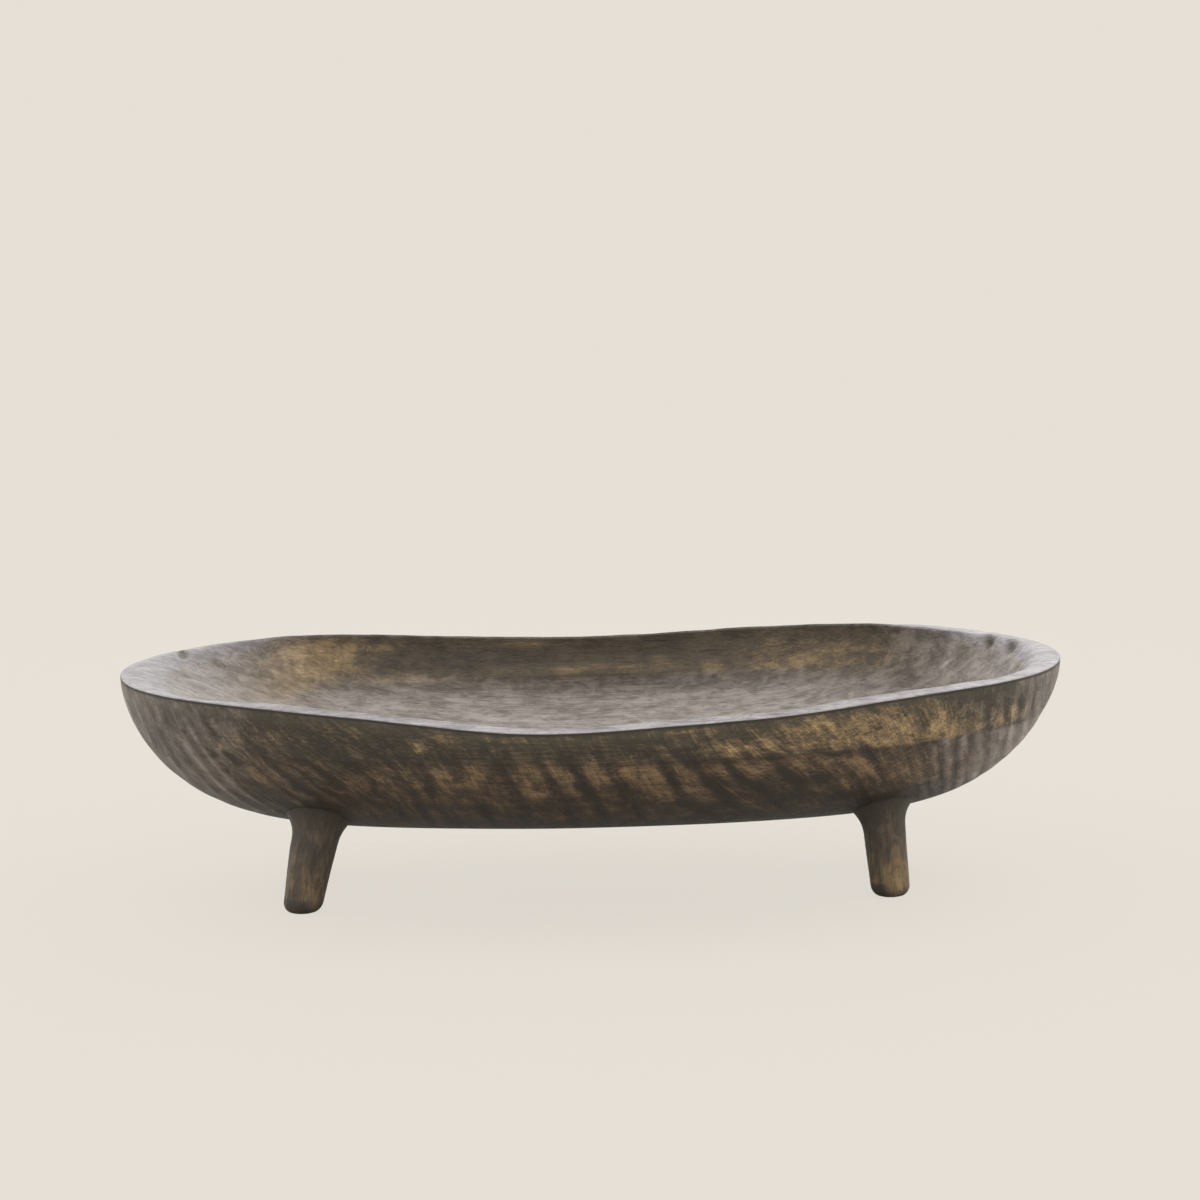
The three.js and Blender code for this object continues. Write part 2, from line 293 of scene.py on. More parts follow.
def outward():
    """Level directions that point out of the rim's outline."""
    along = np.stack([np.roll(RIM_X, -1) - np.roll(RIM_X, 1), np.roll(RIM_Y, -1) - np.roll(RIM_Y, 1)])
    along /= np.linalg.norm(along, axis=0)
    return along[1], -along[0]


OUT_X, OUT_Y = outward()

# How much of the rim's length the dish still has at the upper seam
SEAM_SHARE = 0.975

# The unsteady line of the inner edge, as waves: height, how many go round the rim, and phase
EDGE_WAVES = [(0.0006, 5, 0.7), (0.0005, 11, 2.1), (0.0003, 31, 1.3), (0.0002, 67, 0.4)]

# Where the inner edge runs further out than its oval: place round the rim, half length, how far
EDGE_BULGES = [(0.395, 0.045, 0.0045), (0.440, 0.030, 0.0020), (1.040, 0.030, 0.0030), (0.975, 0.050, 0.0035)]

# Hollows of a gouge at the inner edge: X, Y, half length, half width, depth and how much painted shade each
# gets
HOLLOWS = [
    (0.2604, 0.0630, 0.0036, 0.0058, 0.0022, 0.95),
    (0.2728, 0.0440, 0.0040, 0.0062, 0.0022, 0.90),
    (0.2683, 0.0131, 0.0060, 0.0040, 0.0010, 0.30),
    (0.2424, 0.0697, 0.0060, 0.0070, 0.0010, 0.35),
    (0.2287, 0.0828, 0.0090, 0.0050, 0.0008, 0.45),
    (-0.2617, 0.0690, 0.0040, 0.0085, 0.0024, 1.00),
    (-0.2620, 0.0326, 0.0060, 0.0045, 0.0008, 0.30),
    (-0.2376, 0.0689, 0.0070, 0.0070, 0.0007, 0.20),
]


def hollows(rings):
    """Depth of the gouge hollows, and how much painted shade they get."""
    depth, dark = np.zeros(rings.shape[:2]), np.zeros(rings.shape[:2])
    for x, y, half_length, half_width, deep, shade in HOLLOWS:
        away = ((rings[..., 0] - x) / half_length) ** 2 + ((rings[..., 1] - y) / half_width) ** 2
        inside = np.exp(-(away**2))
        depth += deep * inside
        dark = np.maximum(dark, shade * inside)
    return depth, dark


def inner_wobble():
    """The uneven line of the inner edge, as cut by eye."""
    waves = sum(height * np.sin(count * TURN_ROUND + phase) for height, count, phase in EDGE_WAVES)
    bulges = sum(far * np.exp(-((round_distance(AROUND, place) / half) ** 2))
                 for place, half, far in EDGE_BULGES)
    return waves + bulges


def worn_soft(rings, edge):
    """Rounds off the inner edge at the two ends by evening out the rings beside it, most at the left."""
    ends = 0.95 * soft_step(0.72, 0.93, -UNIT_X) + 0.25 * soft_step(0.80, 0.97, UNIT_X)
    away = np.abs(np.arange(len(rings)) - edge)
    share = (soft_step(WORN_RINGS, 0, away)[:, None] * ends)[..., None]
    for _ in range(WORN_PASSES):
        between = (np.roll(rings, 1, axis=0) + np.roll(rings, -1, axis=0)) / 2
        rings = lerp(rings, between, share)
    return rings


def ring(along_half, across_half, height):
    """One closed line of points on the outside."""
    return np.stack([along_half * UNIT_X, across_half * UNIT_Y, height], axis=1)


def basin_ring(along_half, across_half, height, push):
    """One closed line of points in the basin, with an extra push outwards."""
    x = along_half * BASIN_UNIT_X + push * OUT_X
    y = across_half * BASIN_UNIT_Y + push * OUT_Y
    return np.stack([x, y, height], axis=1)


def outside_rings():
    rings = []
    for turn in even_turns(outer_section, TIP_HEIGHT - GROUND_CLEARANCE, OUTER_RINGS)[::-1]:
        depth, along, across = outer_section(turn)
        height = lerp(RIM_Z - ARRIS, GROUND_CLEARANCE, depth)
        rings.append(ring(HALF_LENGTH * along, HALF_WIDTH * across, height))
    return rings


def rounding(step):
    """How far in and how far down a rounded edge lies at one of its steps."""
    turn = step / ARRIS_RINGS * np.pi / 2
    return ARRIS * (1 - np.cos(turn)), ARRIS * (1 - np.sin(turn))


def outer_edge_rings():
    """The rounded outer edge of the rim, going up."""
    rings = []
    for step in range(1, ARRIS_RINGS + 1):
        inset, drop = rounding(step)
        rings.append(ring(HALF_LENGTH - inset, HALF_WIDTH - inset, RIM_Z - drop))
    return rings


def lip_rings(push):
    """The rounded inner edge of the rim, going down into the basin."""
    rings = []
    for step in range(ARRIS_RINGS, 0, -1):
        outset, drop = rounding(step)
        rings.append(basin_ring(INNER_LENGTH + outset, INNER_WIDTH + outset, INNER_RIM_Z - drop, push))
    return rings


def basin_rings(push):
    rings = []
    for turn in even_turns(basin_section, BASIN_DEPTH, BASIN_RINGS):
        depth, along, across = basin_section(turn, WALL_CURVES)
        height = lerp(INNER_RIM_Z - ARRIS, BASIN_BOTTOM, depth)
        near_edge = np.exp(-((depth * BASIN_DEPTH / EDGE_REACH) ** 2))
        rings.append(basin_ring(INNER_LENGTH * along, INNER_WIDTH * across, height, push * near_edge))
    return rings


def skin_rings():
    """All rings of the skin, from the underside over the rim into the basin, and where each zone ends."""
    outside = outside_rings()
    outer_edge = outer_edge_rings()
    push = inner_wobble()
    lips = lip_rings(push)
    top = [lerp(outer_edge[-1], lips[0], step / RIM_RINGS) for step in range(1, RIM_RINGS)]
    outer_end = len(outside)
    basin_start = outer_end + len(outer_edge) + len(top) + len(lips)
    rings = np.array(outside + outer_edge + top + lips + basin_rings(push))
    return worn_soft(rings, basin_start), outer_end, basin_start


def past_ring(rings, edge):
    """Distance over the surface from one ring to each point of the skin, below zero towards the underside."""
    gaps = np.linalg.norm(np.diff(rings, axis=0), axis=2)
    travelled = np.concatenate([np.zeros((1, AROUND_STEPS)), np.cumsum(gaps, axis=0)])
    return travelled - travelled[edge]


def skin_normals(rings):
    """Directions out of the wood at each point of the skin."""
    round_way = np.roll(rings, -1, axis=1) - np.roll(rings, 1, axis=1)
    ring_way = np.gradient(rings, axis=0)
    normals = np.cross(round_way, ring_way)
    return normals / np.maximum(np.linalg.norm(normals, axis=2, keepdims=True), 1e-12)


def cloudy(points, scale, seed):
    """Smooth noise from -1 to 1 at each point of an array, with one size of bump for each axis."""
    flat = points.reshape(-1, 3) * np.asarray(scale) + seed * 17.3
    values = np.array([noise.noise(Vector(point)) for point in flat])
    return values.reshape(points.shape[:-1])


def scallop(phase):
    """A row of round hollows with sharp ridges between, 1 in the hollows and 0 on the ridges."""
    share = phase - np.floor(phase)
    return 1 - (2 * share - 1) ** 2


def turned_to_front(points):
    """X and height of points of the outside, with those of the back turned half round to the front."""
    back = points[..., 1] > 0
    return np.where(back, -points[..., 0], points[..., 0]), points[..., 2], back


def stroke_place(along, height, cross=False):
    """Where the stroke through a point of the front crosses the upper seam."""
    lean = CROSS_LEAN if cross else np.interp(along, LEAN_PLACES, LEANS)
    return along - lean * (UPPER_SEAM - height)


def stroke_turn(place, back):
    """The turn round the rim of a place on the upper seam."""
    front = np.flatnonzero(UNIT_Y <= 0)
    front = front[np.argsort(RIM_X[front])]
    turns = (TURN_ROUND[front] + np.pi) % (2 * np.pi) - np.pi
    turn = np.interp(place, RIM_X[front] * SEAM_SHARE, turns)
    return turn + np.pi * back


def stroke_vector(points, down, cross=False):
    """Places on an unrolled drum, so that a pattern can run along the strokes without a seam."""
    along, height, back = turned_to_front(points)
    turn = stroke_turn(stroke_place(along, height, cross), back)
    return np.stack([DRUM * np.cos(turn), DRUM * np.sin(turn), down], axis=2)


def grooves(place, middles, half_width):
    """How deep in a groove each place lies, from 0 to 1."""
    deep = np.zeros(place.shape)
    for middle in middles:
        deep = np.maximum(deep, np.exp(-(((place - middle) / half_width) ** 2)))
    return deep


def outside_relief(rings, down):
    """Depth of the hand work outside, how deep in a stroke each point lies, and how near a painted highlight
    stroke.
    """
    along, height, back = turned_to_front(rings)
    place = stroke_place(along, height)
    wander = 0.0022 * cloudy(rings, (30, 30, 30), 1) + 0.0012 * cloudy(rings, (90, 90, 60), 7)
    strength = np.clip(0.75 + 0.9 * cloudy(rings, (28, 28, 28), 2), 0.15, 1)
    above = soft_step(UPPER_SEAM - 0.001, UPPER_SEAM + 0.001, height)
    tip = soft_step(0.0, 0.02, np.abs(rings[..., 1])) * soft_step(0.046, 0.066, height)
    broad = grooves(place + wander, BROAD_STROKES, BROAD_HALF_WIDTH) * soft_step(0.008, 0.020, down)
    broad = broad * strength * tip * (1 - 0.5 * above * soft_step(0.07, 0.09, along))
    flutes = grooves(place + 0.35 * wander, LEFT_FLUTES + RIGHT_FLUTES, FLUTE_HALF_WIDTH)
    flutes = flutes * lerp(1, strength, 0.5) * tip * soft_step(0.006, 0.013, down)
    flutes = flutes * np.where(along < 0, LEFT_FLUTE_SHARE, 1)
    flutes = flutes * (1 - 0.9 * above * soft_step(0.246, 0.240, np.abs(along)) * (along > 0))
    light = grooves(place + 0.35 * wander, LIGHT_STROKES, LIGHT_HALF_WIDTH)
    light = light * np.clip(0.55 + 1.2 * cloudy(rings, (45, 45, 25), 8), 0, 1) * soft_step(0.004, 0.012, down)
    dents = DENT_DEPTH * np.clip(cloudy(rings, (55, 55, 55), 3), 0, 1) * soft_step(0.003, 0.016, down)
    dents = dents * soft_step(0.046, 0.060, height)
    return BROAD_DEPTH * broad + FLUTE_DEPTH * flutes + dents, np.maximum(broad, flutes), light


def right_end_cut(rings):
    """The right end was cut a little flatter than the left, between the rim and the underside."""
    along, height = rings[..., 0], rings[..., 2]
    band = soft_step(0.136, 0.112, height) * soft_step(0.050, 0.085, height)
    return RIGHT_END_CUT * soft_step(0.200, 0.268, along) * band


def basin_relief(rings, down):
    """Depth of the long gouge strokes in the basin, and how deep in a hollow each point lies."""
    end = soft_step(0.55, 0.85, np.abs(rings[..., 0]) / HALF_LENGTH)
    wander = cloudy(rings, (16, 16, 16), 4)
    radial = scallop(END_STROKES * TURN_ROUND / (2 * np.pi) + down / END_STROKE_LEAN + 1.2 * wander)
    long = scallop(down / BASIN_STROKE_WIDTH + 1.4 * wander)
    dents = np.clip(cloudy(rings, (75, 75, 75), 5), 0, 1)
    hollow = lerp(0.4 * long, 0.55 * radial + 0.5 * dents, end)
    depth = lerp(BASIN_STROKE_DEPTH * long, END_STROKE_DEPTH * radial + END_DENT_DEPTH * dents, end)
    return depth * soft_step(0.0, 0.006, down), hollow


# Ridges between the sweeps of the gouge in the basin, raised a little and given a painted highlight, each
# from point to point
RIDGES = [
    [(0.2486, 0.0677, 0.1439), (0.2450, 0.0710, 0.1390), (0.2410, 0.0730, 0.1326), (0.2300, 0.0740, 0.1230)],
    [(0.2180, 0.0960, 0.1440), (0.2100, 0.0960, 0.1330), (0.1980, 0.0920, 0.1220)],
    [(-0.2496, 0.0666, 0.1439), (-0.2410, 0.0750, 0.1410), (-0.2260, 0.0820, 0.1260),
     (-0.2120, 0.0790, 0.1160), (-0.1970, 0.0710, 0.1080)],
    [(-0.2600, 0.0300, 0.1380), (-0.2400, 0.0350, 0.1260), (-0.2150, 0.0300, 0.1130)],
]
RIDGE_HALF_WIDTH = 0.0028
RIDGE_HEIGHT = 0.0003


def near_line(points, line):
    """Distance of each point of an array from a line of points."""
    nearest = np.full(points.shape[:-1], np.inf)
    for start, end in zip(np.array(line[:-1]), np.array(line[1:])):
        way = end - start
        share = np.clip((points - start) @ way / (way @ way), 0, 1)
        nearest = np.minimum(nearest, np.linalg.norm(points - start - share[..., None] * way, axis=-1))
    return nearest


def ridges(rings):
    """How close each point lies to a ridge, from 0 to 1, for its height and its painted highlight."""
    nearest = np.min([near_line(rings, line) for line in RIDGES], axis=0)
    uneven = np.clip(0.6 + 1.2 * cloudy(rings, (60, 60, 60), 10), 0.2, 1)
    return np.exp(-((nearest / RIDGE_HALF_WIDTH) ** 2)) * uneven


# Where the stain is rubbed through, on the front: X, height, half length, half height, strength
TOP_RUBS = [
    (0.186, 0.1225, 0.060, 0.0160, 1.00),
    (0.140, 0.1290, 0.050, 0.0090, 0.60),
    (0.268, 0.1205, 0.018, 0.0090, 1.00),
    (0.236, 0.1165, 0.026, 0.0060, 0.80),
    (0.104, 0.1170, 0.050, 0.0055, 0.70),
    (0.070, 0.1230, 0.040, 0.0090, 0.30),
    (0.020, 0.1145, 0.040, 0.0035, 0.25),
    (-0.110, 0.1225, 0.005, 0.0045, 1.00),
    (-0.236, 0.1160, 0.013, 0.0070, 0.70),
    (-0.240, 0.1270, 0.006, 0.0030, 0.60),
    (-0.205, 0.1240, 0.030, 0.0060, 0.30),
    (-0.150, 0.1180, 0.010, 0.0050, 0.45),
    (-0.152, 0.1290, 0.005, 0.0040, 0.45),
    (-0.060, 0.1180, 0.060, 0.0080, 0.12),
    (-0.060, 0.1285, 0.055, 0.0016, 0.55),
    (0.050, 0.1300, 0.035, 0.0016, 0.60),
]
LOWER_RUBS = [
    (-0.088, 0.1010, 0.020, 0.0120, 0.85),
    (-0.040, 0.1000, 0.026, 0.0140, 0.95),
    (0.000, 0.1020, 0.020, 0.0110, 0.85),
    (0.040, 0.1000, 0.030, 0.0120, 0.85),
    (0.090, 0.1020, 0.022, 0.0085, 1.00),
    (0.062, 0.0860, 0.030, 0.0080, 0.60),
    (0.134, 0.1020, 0.018, 0.0090, 0.90),
    (0.160, 0.0990, 0.016, 0.0100, 0.90),
    (0.150, 0.0840, 0.014, 0.0070, 0.70),
    (-0.128, 0.0990, 0.026, 0.0110, 0.70),
    (-0.175, 0.1030, 0.024, 0.0120, 0.60),
    (-0.215, 0.1020, 0.024, 0.0100, 0.60),
    (-0.180, 0.0880, 0.050, 0.0110, 0.40),
    (-0.020, 0.0830, 0.100, 0.0080, 0.35),
    (0.192, 0.0960, 0.030, 0.0150, 0.62),
    (0.232, 0.0970, 0.040, 0.0150, 0.58),
    (0.200, 0.0810, 0.040, 0.0110, 0.38),
    (0.098, 0.0700, 0.022, 0.0080, 0.60),
    (0.132, 0.0690, 0.014, 0.0070, 0.55),
    (0.020, 0.0690, 0.060, 0.0090, 0.42),
    (-0.090, 0.0690, 0.070, 0.0100, 0.42),
]
# And in the basin, on its back wall
BASIN_RUBS = [
    (-0.178, 0.1330, 0.030, 0.0075, 1.00),
    (-0.190, 0.1240, 0.045, 0.0130, 0.85),
    (-0.130, 0.1325, 0.016, 0.0030, 0.45),
    (-0.081, 0.1300, 0.020, 0.0030, 0.35),
    (-0.035, 0.1300, 0.026, 0.0035, 0.35),
    (-0.125, 0.1140, 0.024, 0.0040, 0.32),
    (-0.205, 0.1130, 0.030, 0.0060, 0.40),
    (0.168, 0.1270, 0.055, 0.0120, 0.50),
    (0.125, 0.1190, 0.045, 0.0045, 0.42),
    (0.036, 0.1145, 0.030, 0.0040, 0.50),
    (0.086, 0.1150, 0.010, 0.0030, 0.36),
    (-0.014, 0.1145, 0.022, 0.0036, 0.30),
    (-0.070, 0.1120, 0.050, 0.0040, 0.30),
]


def rubbed(along, height, spots, firmness):
    """Patches of wear at the named places, with firmer edges the higher the firmness."""
    wear = np.zeros(along.shape)
    for x, z, half_length, half_height, strength in spots:
        spread = ((along - x) / half_length) ** 2 + ((height - z) / half_height) ** 2
        wear += strength * np.exp(-(spread**firmness))
    return np.clip(wear, 0, 1)


def outside_wear(rings, hollow):
    """How far the stain outside is rubbed through. It was rubbed board by board, and stays in the hollows."""
    along, height, _ = turned_to_front(rings)
    above = soft_step(UPPER_SEAM - 0.0008, UPPER_SEAM + 0.0008, height)
    wear = lerp(rubbed(along, height, LOWER_RUBS, 2), rubbed(along, height, TOP_RUBS, 2), above)
    return np.clip(wear * (1 - 0.85 * hollow), 0, 1)


def basin_wear(rings):
    along = np.where(rings[..., 1] < 0, -rings[..., 0], rings[..., 0])
    return rubbed(along, rings[..., 2], BASIN_RUBS, 1)


def basin_sheen(rings, down):
    """Painted grey sheen in the basin: strong on the floor and at the ends, weak on the long walls."""
    floor = 0.30 * soft_step(0.024, 0.036, down) + 0.45 * soft_step(0.034, 0.056, down)
    floor = floor + 0.20 * soft_step(0.058, 0.080, down)
    left = soft_step(0.54, 0.82, -rings[..., 0] / HALF_LENGTH)
    right = soft_step(0.60, 0.84, rings[..., 0] / HALF_LENGTH)
    return np.maximum(floor, np.maximum(0.76 * left, 0.75 * right))


def foot_place(leg):
    """Where the middle of a leg's sole stands."""
    x = leg["end"] * FOOT_SPACING_ALONG / 2 + leg["shift"]
    y = leg["row"] * FOOT_SPACING_ACROSS[leg["end"]] / 2
    return x, y


def outside_darkness(rings, down, hollow):
    """Painted shade and thick stain in the hollows; painted shade low down and round the legs, which lean in
    on their way up.
    """
    lean_in = 0.96
    # Painted shade low on the dish, darker towards the bottom
    low = 0.12 * soft_step(0.095, 0.050, rings[..., 2])
    joint_shade = np.zeros(down.shape)
    for leg in LEGS.values():
        x, y = foot_place(leg)
        away = np.hypot(rings[..., 0] - x * lean_in, rings[..., 1] - y)
        joint_shade = np.maximum(joint_shade, soft_step(0.034, 0.018, away) * soft_step(0.075, 0.060, rings[..., 2]))
    return np.clip(np.maximum(0.62 * hollow, low) + 0.6 * joint_shade, 0, 1)


def end_highlights(rings, hollow, light):
    """Painted highlights on the ridges of the two ends: strong below the upper seam at the right, weak at the
    left.
    """
    along, height, _ = turned_to_front(rings)
    reach = np.abs(along) / HALF_LENGTH
    below = soft_step(UPPER_SEAM + 0.001, UPPER_SEAM - 0.001, height)
    upper = lerp(0.12, 0.55, soft_step(0.255, 0.292, along))
    strength = np.where(along > 0, lerp(upper, 0.95, below), 0.38) * soft_step(0.62, 1.0, reach)
    lit = np.where(along > 0, lerp(0.20, 0.85, below), 0.42) * soft_step(0.50, 0.80, reach)
    return np.clip(strength * (1 - 0.62 * hollow) + lit * light, 0, 1)


def across_rim(rings, past_edge, outer_end):
    """How far over the rim each point lies, from 0 at its outer edge to 1 at the basin, unevenly."""
    share = np.clip(1 - past_edge / past_edge[outer_end], 0, 1)
    return np.clip(share + 0.35 * cloudy(rings, (30, 30, 30), 9), 0, 1)


def rim_lightness(share):
    """How much lighter the rim is towards its outer edge, as a painted highlight, and darker towards the
    basin.
    """
    left = soft_step(0.2, 0.8, -UNIT_X)
    return lerp(lerp(0.32, -0.08, left), lerp(-0.55, -0.85, left), share)


def rim_sheen(share):
    """Painted grey sheen on the rim, weak along the inner edge of the long back."""
    long_back = soft_step(0.2, 0.6, UNIT_Y) * soft_step(0.80, 0.62, np.abs(UNIT_X))
    return 1 - 0.8 * long_back * soft_step(0.1, 0.6, share)


def make_skin():
    """The whole skin of the carved blank: its points, and the values that the finish needs at each."""
    rings, outer_end, basin_start = skin_rings()
    outer_down = np.maximum(-past_ring(rings, outer_end), 0)
    past_edge = past_ring(rings, basin_start)
    basin_down = np.maximum(past_edge, 0)
    outside = np.zeros(rings.shape[:2])
    outside[:outer_end + 1] = 1
    basin = np.zeros(rings.shape[:2])
    basin[basin_start:] = 1
    rim = 1 - outside - basin

    outer_depth, outer_hollow, light = outside_relief(rings, outer_down)
    basin_depth, basin_hollow = basin_relief(rings, basin_down)
    rim_depth = RIM_UNEVENNESS * np.clip(0.5 + cloudy(rings, (40, 40, 40), 6), 0, 1)
    hollow_depth, hollow_shade = hollows(rings)
    ridge = basin * ridges(rings)
    outer_depth += right_end_cut(rings)
    depth = outside * outer_depth + basin * basin_depth + rim * rim_depth + (1 - outside) * hollow_depth
    placed = rings - skin_normals(rings) * (depth - RIDGE_HEIGHT * ridge)[..., None]

    on_outside = outside[..., None]
    painted_end_highlights = end_highlights(rings, outer_hollow, light)
    rim_share = across_rim(rings, past_edge, outer_end)
    left_end = soft_step(0.55, 0.80, -rings[..., 0] / HALF_LENGTH)
    inside_sheen = rim * rim_sheen(rim_share) + basin * basin_sheen(rings, basin_down)
    lengthwise = np.stack([rings[..., 1], rings[..., 2], rings[..., 0]], axis=2)
    values = {
        "stroke": lerp(lengthwise, stroke_vector(rings, outer_down), on_outside),
        "cross_stroke": lerp(lengthwise[..., ::-1], stroke_vector(rings, outer_down, True), on_outside),
        "down": outer_down + basin_down,
        "facing": skin_normals(placed),
        "outside": outside,
        "rim": rim,
        # Painted shade: in the outside hollows (with thick stain), low on the dish, round the legs and in the
        # basin's gouge hollows
        "dark": outside * outside_darkness(rings, outer_down, outer_hollow) + basin * 0.35 * basin_hollow,
        "rub": outside * outside_wear(rings, outer_hollow) + basin * basin_wear(rings),
        # The hollows lose the painted sheen, as painted shade; the ends' ridges take painted highlights
        "pale": inside_sheen * (1 - hollow_shade) + outside * painted_end_highlights,
        # Painted highlight on the basin ridges and the rim's outer edge; darker towards the basin and at its
        # left end
        "light": 0.8 * ridge + rim * rim_lightness(rim_share) - 0.35 * basin * left_end,
    }
    return placed, values


def closed_faces(ring_count, around):
    """Quads between stacked rings and a fan of triangles at each pole. Point 0 is the first pole."""
    steps = np.arange(around)
    after = (steps + 1) % around
    last_pole = 1 + ring_count * around
    top = last_pole - around
    faces = [(0, 1 + int(there), 1 + int(here)) for here, there in zip(steps, after)]
    for level in range(ring_count - 1):
        low = 1 + level * around
        high = low + around
        quads = np.stack([low + steps, low + after, high + after, high + steps], axis=1)
        faces.extend(map(tuple, quads.tolist()))
    faces.extend((last_pole, top + int(here), top + int(there)) for here, there in zip(steps, after))
    return faces


def closed_mesh(name, rings, first_pole, last_pole):
    """A smooth closed mesh of stacked rings of points between two poles."""
    points = np.concatenate([[first_pole], rings.reshape(-1, 3), [last_pole]])
    mesh = bpy.data.meshes.new(name)
    mesh.from_pydata(points.tolist(), [], closed_faces(*rings.shape[:2]))
    mesh.shade_smooth()
    return mesh


def with_poles(values):
    """Values of all rings in one list, with those beside each pole repeated for it."""
    flat = values.reshape(-1, 3) if values.ndim == 3 else values.reshape(-1)
    return np.concatenate([flat[:1], flat, flat[-1:]])


def store(mesh, name, values):
    """Keeps a value or a vector at each point of a mesh, for the materials."""
    kind, field = ("FLOAT_VECTOR", "vector") if values.ndim == 2 else ("FLOAT", "value")
    attribute = mesh.attributes.new(name, kind, "POINT")
    attribute.data.foreach_set(field, values.astype(np.float32).ravel())


def skin_mesh():
    placed, values = make_skin()
    mesh = closed_mesh("carved_blank", placed, (0, 0, GROUND_CLEARANCE), (0, 0, BASIN_BOTTOM))
    for name, value in values.items():
        full = with_poles(value)
        if name == "facing":
            full[0], full[-1] = (0, 0, -1), (0, 0, 1)
        store(mesh, name, full)
    return mesh


# Sawing the blank back into its boards


def saw(body, axis, place, keep_high):
    """Cuts a closed body at a plane across an axis, keeps one side and closes the cut."""
    normal = Vector((0, 0, 0))
    normal[axis] = 1
    parts = body.verts[:] + body.edges[:] + body.faces[:]
    made = bmesh.ops.bisect_plane(
        body, geom=parts, dist=SAW_TOLERANCE, plane_co=normal * place, plane_no=normal,
        clear_inner=keep_high, clear_outer=not keep_high)
    cut_edges = [part for part in made["geom_cut"] if isinstance(part, bmesh.types.BMEdge)]
    filled = bmesh.ops.triangle_fill(body, use_beauty=True, edges=cut_edges, normal=normal)
    for part in filled["geom"]:
        if isinstance(part, bmesh.types.BMFace):
            part.smooth = False


def slices(body, axis, places):
    """The pieces of a body between planes across an axis, from low to high."""
    pieces = []
    rest = body
    for place in places:
        piece = rest.copy()
        saw(piece, axis, place, False)
        saw(rest, axis, place, True)
        pieces.append(piece)
    return pieces + [rest]


BOARD_LAYERS = [
    {"name": "bottom", "butts": [BOTTOM_BUTT], "lengths": ["left", "right"]},
    {"name": "middle", "butts": MIDDLE_BUTTS, "lengths": ["left", "centre", "right"]},
    {"name": "top", "butts": [TOP_BUTT], "lengths": ["left", "right"]},
]


def add_piece(name, mesh, material, node):
    """Puts a finished mesh in the scene in place of a node of the frame."""
    mesh.materials.clear()
    mesh.materials.append(material)
    piece = bpy.data.objects.new(name, mesh)
    bpy.context.scene.collection.objects.link(piece)
    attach(piece, "root")
    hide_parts(node)


def board_ends(mesh, low, high):
    """Keeps the two corners of a board's sawn faces at each point, far away where a side is carved."""
    count = len(mesh.vertices)
    store(mesh, "sawn_low", np.tile(np.asarray(low), (count, 1)))
    store(mesh, "sawn_high", np.tile(np.asarray(high), (count, 1)))


def read_all(items, name, kind=np.float32, width=1):
    """One property of all items of a mesh."""
    values = np.zeros(width * len(items), dtype=kind)
    items.foreach_get(name, values)
    return values.reshape(-1, width) if width > 1 else values


def keep_facing(mesh):
    """Gives the carved faces the whole blank's directions, so that no edge shows where two boards meet."""
    facing = read_all(mesh.attributes["facing"].data, "vector", width=3)
    normals = facing[read_all(mesh.loops, "vertex_index", np.int32)]
    sizes = read_all(mesh.polygons, "loop_total", np.int32)
    sawn = np.repeat(~read_all(mesh.polygons, "use_smooth", bool), sizes)
    flat = np.repeat(read_all(mesh.polygons, "normal", width=3), sizes, axis=0)
    normals[sawn] = flat[sawn]
    normals /= np.linalg.norm(normals, axis=1, keepdims=True)
    mesh.normals_split_custom_set(normals.tolist())


def make_boards(materials):
    far = 1.0
    blank = bmesh.new()
    blank.from_mesh(skin_mesh())
    heights = [-far, LOWER_SEAM, UPPER_SEAM, far]
    seed = 0
    for level, (layer, body) in enumerate(zip(BOARD_LAYERS, slices(blank, 2, heights[1:3]))):
        for row, (row_name, half) in enumerate(zip(("front", "back"), slices(body, 1, [0.0]))):
            ends = [-far, *layer["butts"], far]
            for index, (length, board) in enumerate(zip(layer["lengths"], slices(half, 0, layer["butts"]))):
                name = f"{layer['name']}_board_{row_name}_{length}"
                bmesh.ops.recalc_face_normals(board, faces=board.faces[:])
                mesh = bpy.data.meshes.new(f"carved_{name}")
                board.to_mesh(mesh)
                board.free()
                low = (ends[index], 0.0 if row else -far, heights[level])
                high = (ends[index + 1], far if row else 0.0, heights[level + 1])
                keep_facing(mesh)
                board_ends(mesh, low, high)
                store(mesh, "seed", np.full(len(mesh.vertices), float(seed)))
                slot = f"{layer['name']}_boards"
                add_piece(f"carved_{name}", mesh, materials[slot], name)
                seed += 1


# Legs


def underside_height(x, y):
    """Height of the underside of the dish over points of the ground."""
    rimward = np.zeros(np.shape(x))
    groundward = np.full(np.shape(x), np.pi / 2)
    for _ in range(SEARCH_STEPS):
        turn = (rimward + groundward) / 2
        _, along, across = outer_section(turn)
        reach = (np.abs(x) / (HALF_LENGTH * along)) ** PLAN_FULLNESS
        reach = reach + (np.abs(y) / (HALF_WIDTH * across)) ** PLAN_FULLNESS
        groundward = np.where(reach > 1, turn, groundward)
        rimward = np.where(reach > 1, rimward, turn)
    depth, along, across = outer_section(rimward)
    return lerp(rim_height(x / along, y / across) - ARRIS, GROUND_CLEARANCE, depth)


def leg_axis(leg):
    """The line up the middle of a leg, which leans towards the middle of the dish."""
    foot_x, foot_y = foot_place(leg)
    lean_x = -leg["end"] * math.tan(math.radians(leg["splay"]))
    lean_y = -leg["row"] * math.tan(math.radians(SPLAY_ACROSS))
    return lambda z: (foot_x + lean_x * z, foot_y + lean_y * z)


LEG_ANGLES = np.linspace(0, 2 * np.pi, LEG_STEPS, endpoint=False)


